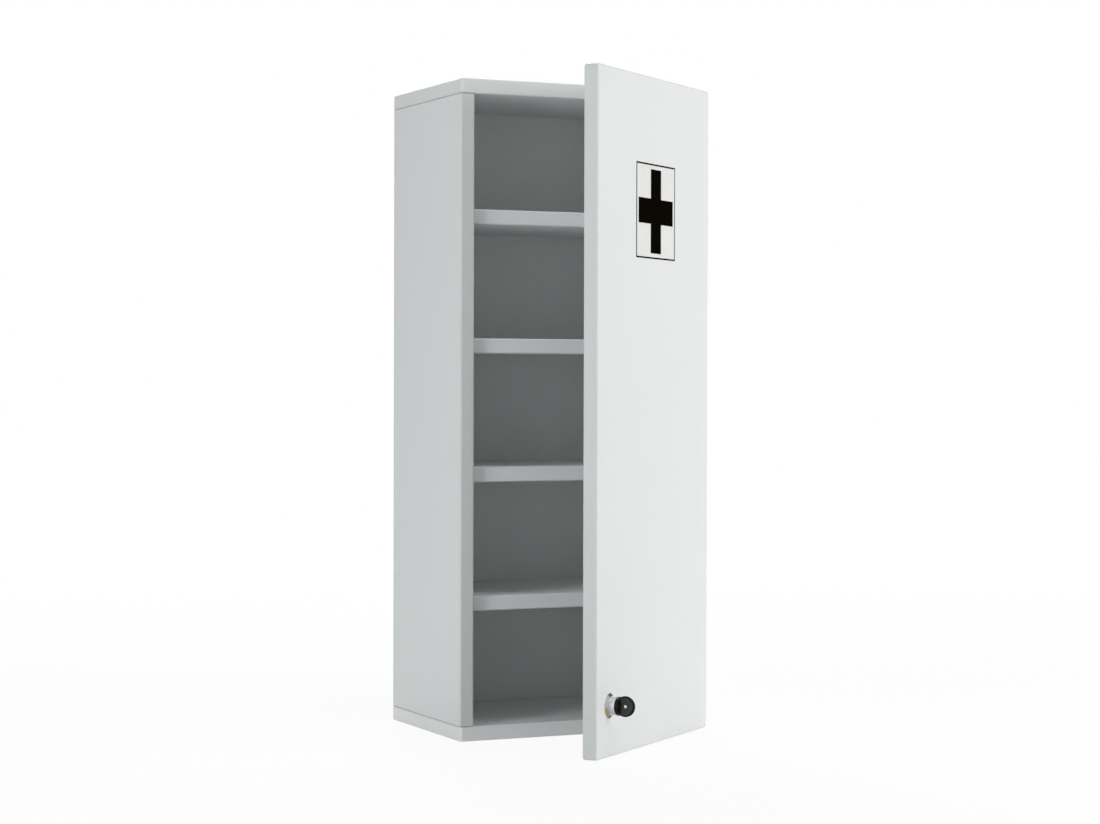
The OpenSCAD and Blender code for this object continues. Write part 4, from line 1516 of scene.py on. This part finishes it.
    def nut(self, place: Matrix) -> Outline:
        """Draws the hexagon nut with its turned chamfers.

        Args:
            place: Where the lock's frame sits.

        Returns:
            The rings of the nut.
        """
        low, high = self.depths("lock_nut", place)
        flats = max(abs(corner.y) for corner in self.corners("lock_nut", place.inverted()))
        steps, hole = self.steps_round, self.barrel_radius + self.nut_play
        angles = [math.radians((step * 360 / steps) % 60 - 30) for step in range(steps)]
        shares = [part / self.steps_chamfer for part in range(self.steps_chamfer + 1)]
        limits = [flats * (self.nut_across + self.nut_spread * share) for share in shares]
        rise = [(self.nut_chamfer * share, [min(flats / math.cos(angle), limit) for angle in angles])
                for share, limit in zip(shares, limits)]
        mouth = hole + self.hole_chamfer
        return [
            (low, mouth),
            *((low + height, radii) for height, radii in rise),
            *((high - height, radii) for height, radii in reversed(rise)),
            (high, mouth), (high - self.hole_chamfer, hole), (low + self.hole_chamfer, hole),
        ]


@dataclass
class Key(Assembly):
    """The key, with its steel blade and its round plastic bow."""

    blade_rounding: float = 0.2 * MM
    bow_rounding: float = 0.35 * MM

    def build(self) -> None:
        """Builds and dresses the key."""
        self.soften("key_blade", "key", NICKEL, self.blade_rounding)
        frame = self.lock_frame()
        corners = self.corners("key_bow", frame.inverted())
        radius = max(corner.y for corner in corners)
        centre = frame @ Vector((0.0, 0.0, max(corner.z for corner in corners) - radius))
        plastic = MouldedPlastic(tuple(centre), tuple(self.door_outwards()))
        self.soften("key_bow", "key", plastic, self.bow_rounding, segments=3)


# ---- Studio ----


@dataclass(frozen=True)
class Viewpoint:
    """Where the camera stands, in metres and degrees, and its lens."""

    place: tuple[float, float, float] = (-1.3493, -2.9233, 0.4359)
    yaw: float = 24.88
    pitch: float = -0.706
    roll: float = 0.145
    lens: float = 82.92
    sensor: float = 36.0
    reach: float = 60.0

    def build(self) -> None:
        """Makes the camera and makes it the scene's own."""
        data = bpy.data.cameras.new("camera")
        data.lens = self.lens
        data.sensor_width = self.sensor
        data.clip_end = self.reach
        camera = linked("camera", data)
        turns = ((-self.yaw, "Z"), (90 + self.pitch, "X"), (self.roll, "Z"))
        yaw, pitch, roll = (Matrix.Rotation(math.radians(angle), 4, axis) for angle, axis in turns)
        camera.matrix_world = Matrix.Translation(self.place) @ yaw @ pitch @ roll
        bpy.context.scene.camera = camera


@dataclass(frozen=True)
class Lamp:
    """One soft round lamp that points at the cabinet, with its place given in degrees and metres."""

    name: str
    azimuth: float
    height: float
    distance: float
    size: float
    watts: float
    tone: Colour = (1.0, 1.0, 1.0)
    aim: tuple[float, float, float] = (0.0, 0.0, 0.4)

    def build(self) -> None:
        """Makes the lamp."""
        data = bpy.data.lights.new(self.name, "AREA")
        data.shape = "DISK"
        data.size = self.size
        data.energy = self.watts
        data.color = self.tone
        lamp = linked(self.name, data)
        around, above = math.radians(self.azimuth), math.radians(self.height)
        away = Vector(
            (math.sin(around) * math.cos(above), -math.cos(around) * math.cos(above), math.sin(above))
        )
        place = Vector(self.aim) + away * self.distance
        lamp.matrix_world = Matrix.Translation(place) @ away.to_track_quat("Z", "Y").to_matrix().to_4x4()


@dataclass(frozen=True)
class Studio:
    """Pale floor, white surroundings and soft lamps."""

    floor_half: float = 30.0
    floor_tone: float = 0.97
    floor_glow: float = 0.93
    floor_glow_from: float = 0.5
    floor_glow_to: float = 2.5
    surround: float = 0.09
    lamps: tuple[Lamp, ...] = (
        Lamp("left_lamp", -64, 8, 3.2, 0.9, 34.0, (0.95, 1.0, 1.0)),
        Lamp("right_lamp", 45, 8, 3.2, 1.2, 47.5),
        Lamp("top_lamp", 10, 70, 3.0, 1.6, 25.0),
        Lamp("rear_lamp", 165, 38, 3.2, 1.2, 56.0),
    )

    def build(self) -> None:
        """Makes the surroundings, the floor and the lamps."""
        bpy.context.scene.view_settings.view_transform = "Standard"
        self.world()
        self.floor()
        for lamp in self.lamps:
            lamp.build()

    @staticmethod
    def shown(graph: Graph) -> Value:
        """1 for what the camera sees, by itself or in metal and glass, and 0 for soft light.

        Args:
            graph: The graph that asks.

        Returns:
            The value.
        """
        shown = graph.node("ShaderNodeLightPath", output="Is Camera Ray")
        outputs = shown.socket.node.outputs
        for kind in ("Glossy", "Transmission"):
            shown = shown.larger(Value(graph, outputs[f"Is {kind} Ray"]))
        return shown

    def world(self) -> None:
        """Makes white surroundings that add only a little light."""
        world = bpy.data.worlds.new("surroundings")
        world.use_nodes = True
        bpy.context.scene.world = world
        world.node_tree.nodes.clear()
        graph = Graph(world.node_tree)
        level = self.shown(graph) * (1 - self.surround) + self.surround
        sky = graph.node("ShaderNodeBackground", Color=(1, 1, 1, 1), Strength=level)
        graph.node("ShaderNodeOutputWorld", Surface=sky)

    def floor(self) -> None:
        """Makes the floor that the cabinet stands on, which turns to plain white away from it."""
        mesh = bpy.data.meshes.new("floor")
        half = self.floor_half
        corners = [(-half, -half, 0), (half, -half, 0), (half, half, 0), (-half, half, 0)]
        mesh.from_pydata(corners, [], [range(len(corners))])
        graph = ShaderGraph("floor_paint")
        away = graph.length(*graph.axes(graph.place))
        white = away.ramp(self.floor_glow_from, self.floor_glow_to) * (1 - self.floor_glow) + self.floor_glow
        paint = graph.node("ShaderNodeBsdfDiffuse", Color=(*(self.floor_tone,) * 3, 1))
        glow = graph.node("ShaderNodeEmission", Color=(1, 1, 1, 1), Strength=1.0)
        surface = graph.node("ShaderNodeMixShader", None, {0: self.shown(graph) * white, 1: paint, 2: glow})
        graph.node("ShaderNodeOutputMaterial", Surface=surface)
        mesh.materials.append(graph.material)
        linked("floor", mesh)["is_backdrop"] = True


def main() -> None:
    """Builds the dressed cabinet and its studio, piece by piece."""
    logging.basicConfig(level=logging.INFO, format="%(name)s: %(message)s")
    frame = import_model()
    Viewpoint().build()
    Studio().build()
    for assembly in (Carcass, Door, Hinges, Lock, Key):
        assembly(frame).build()
        LOG.info("%s done", assembly.__name__)


if __name__ == "__main__":
    main()
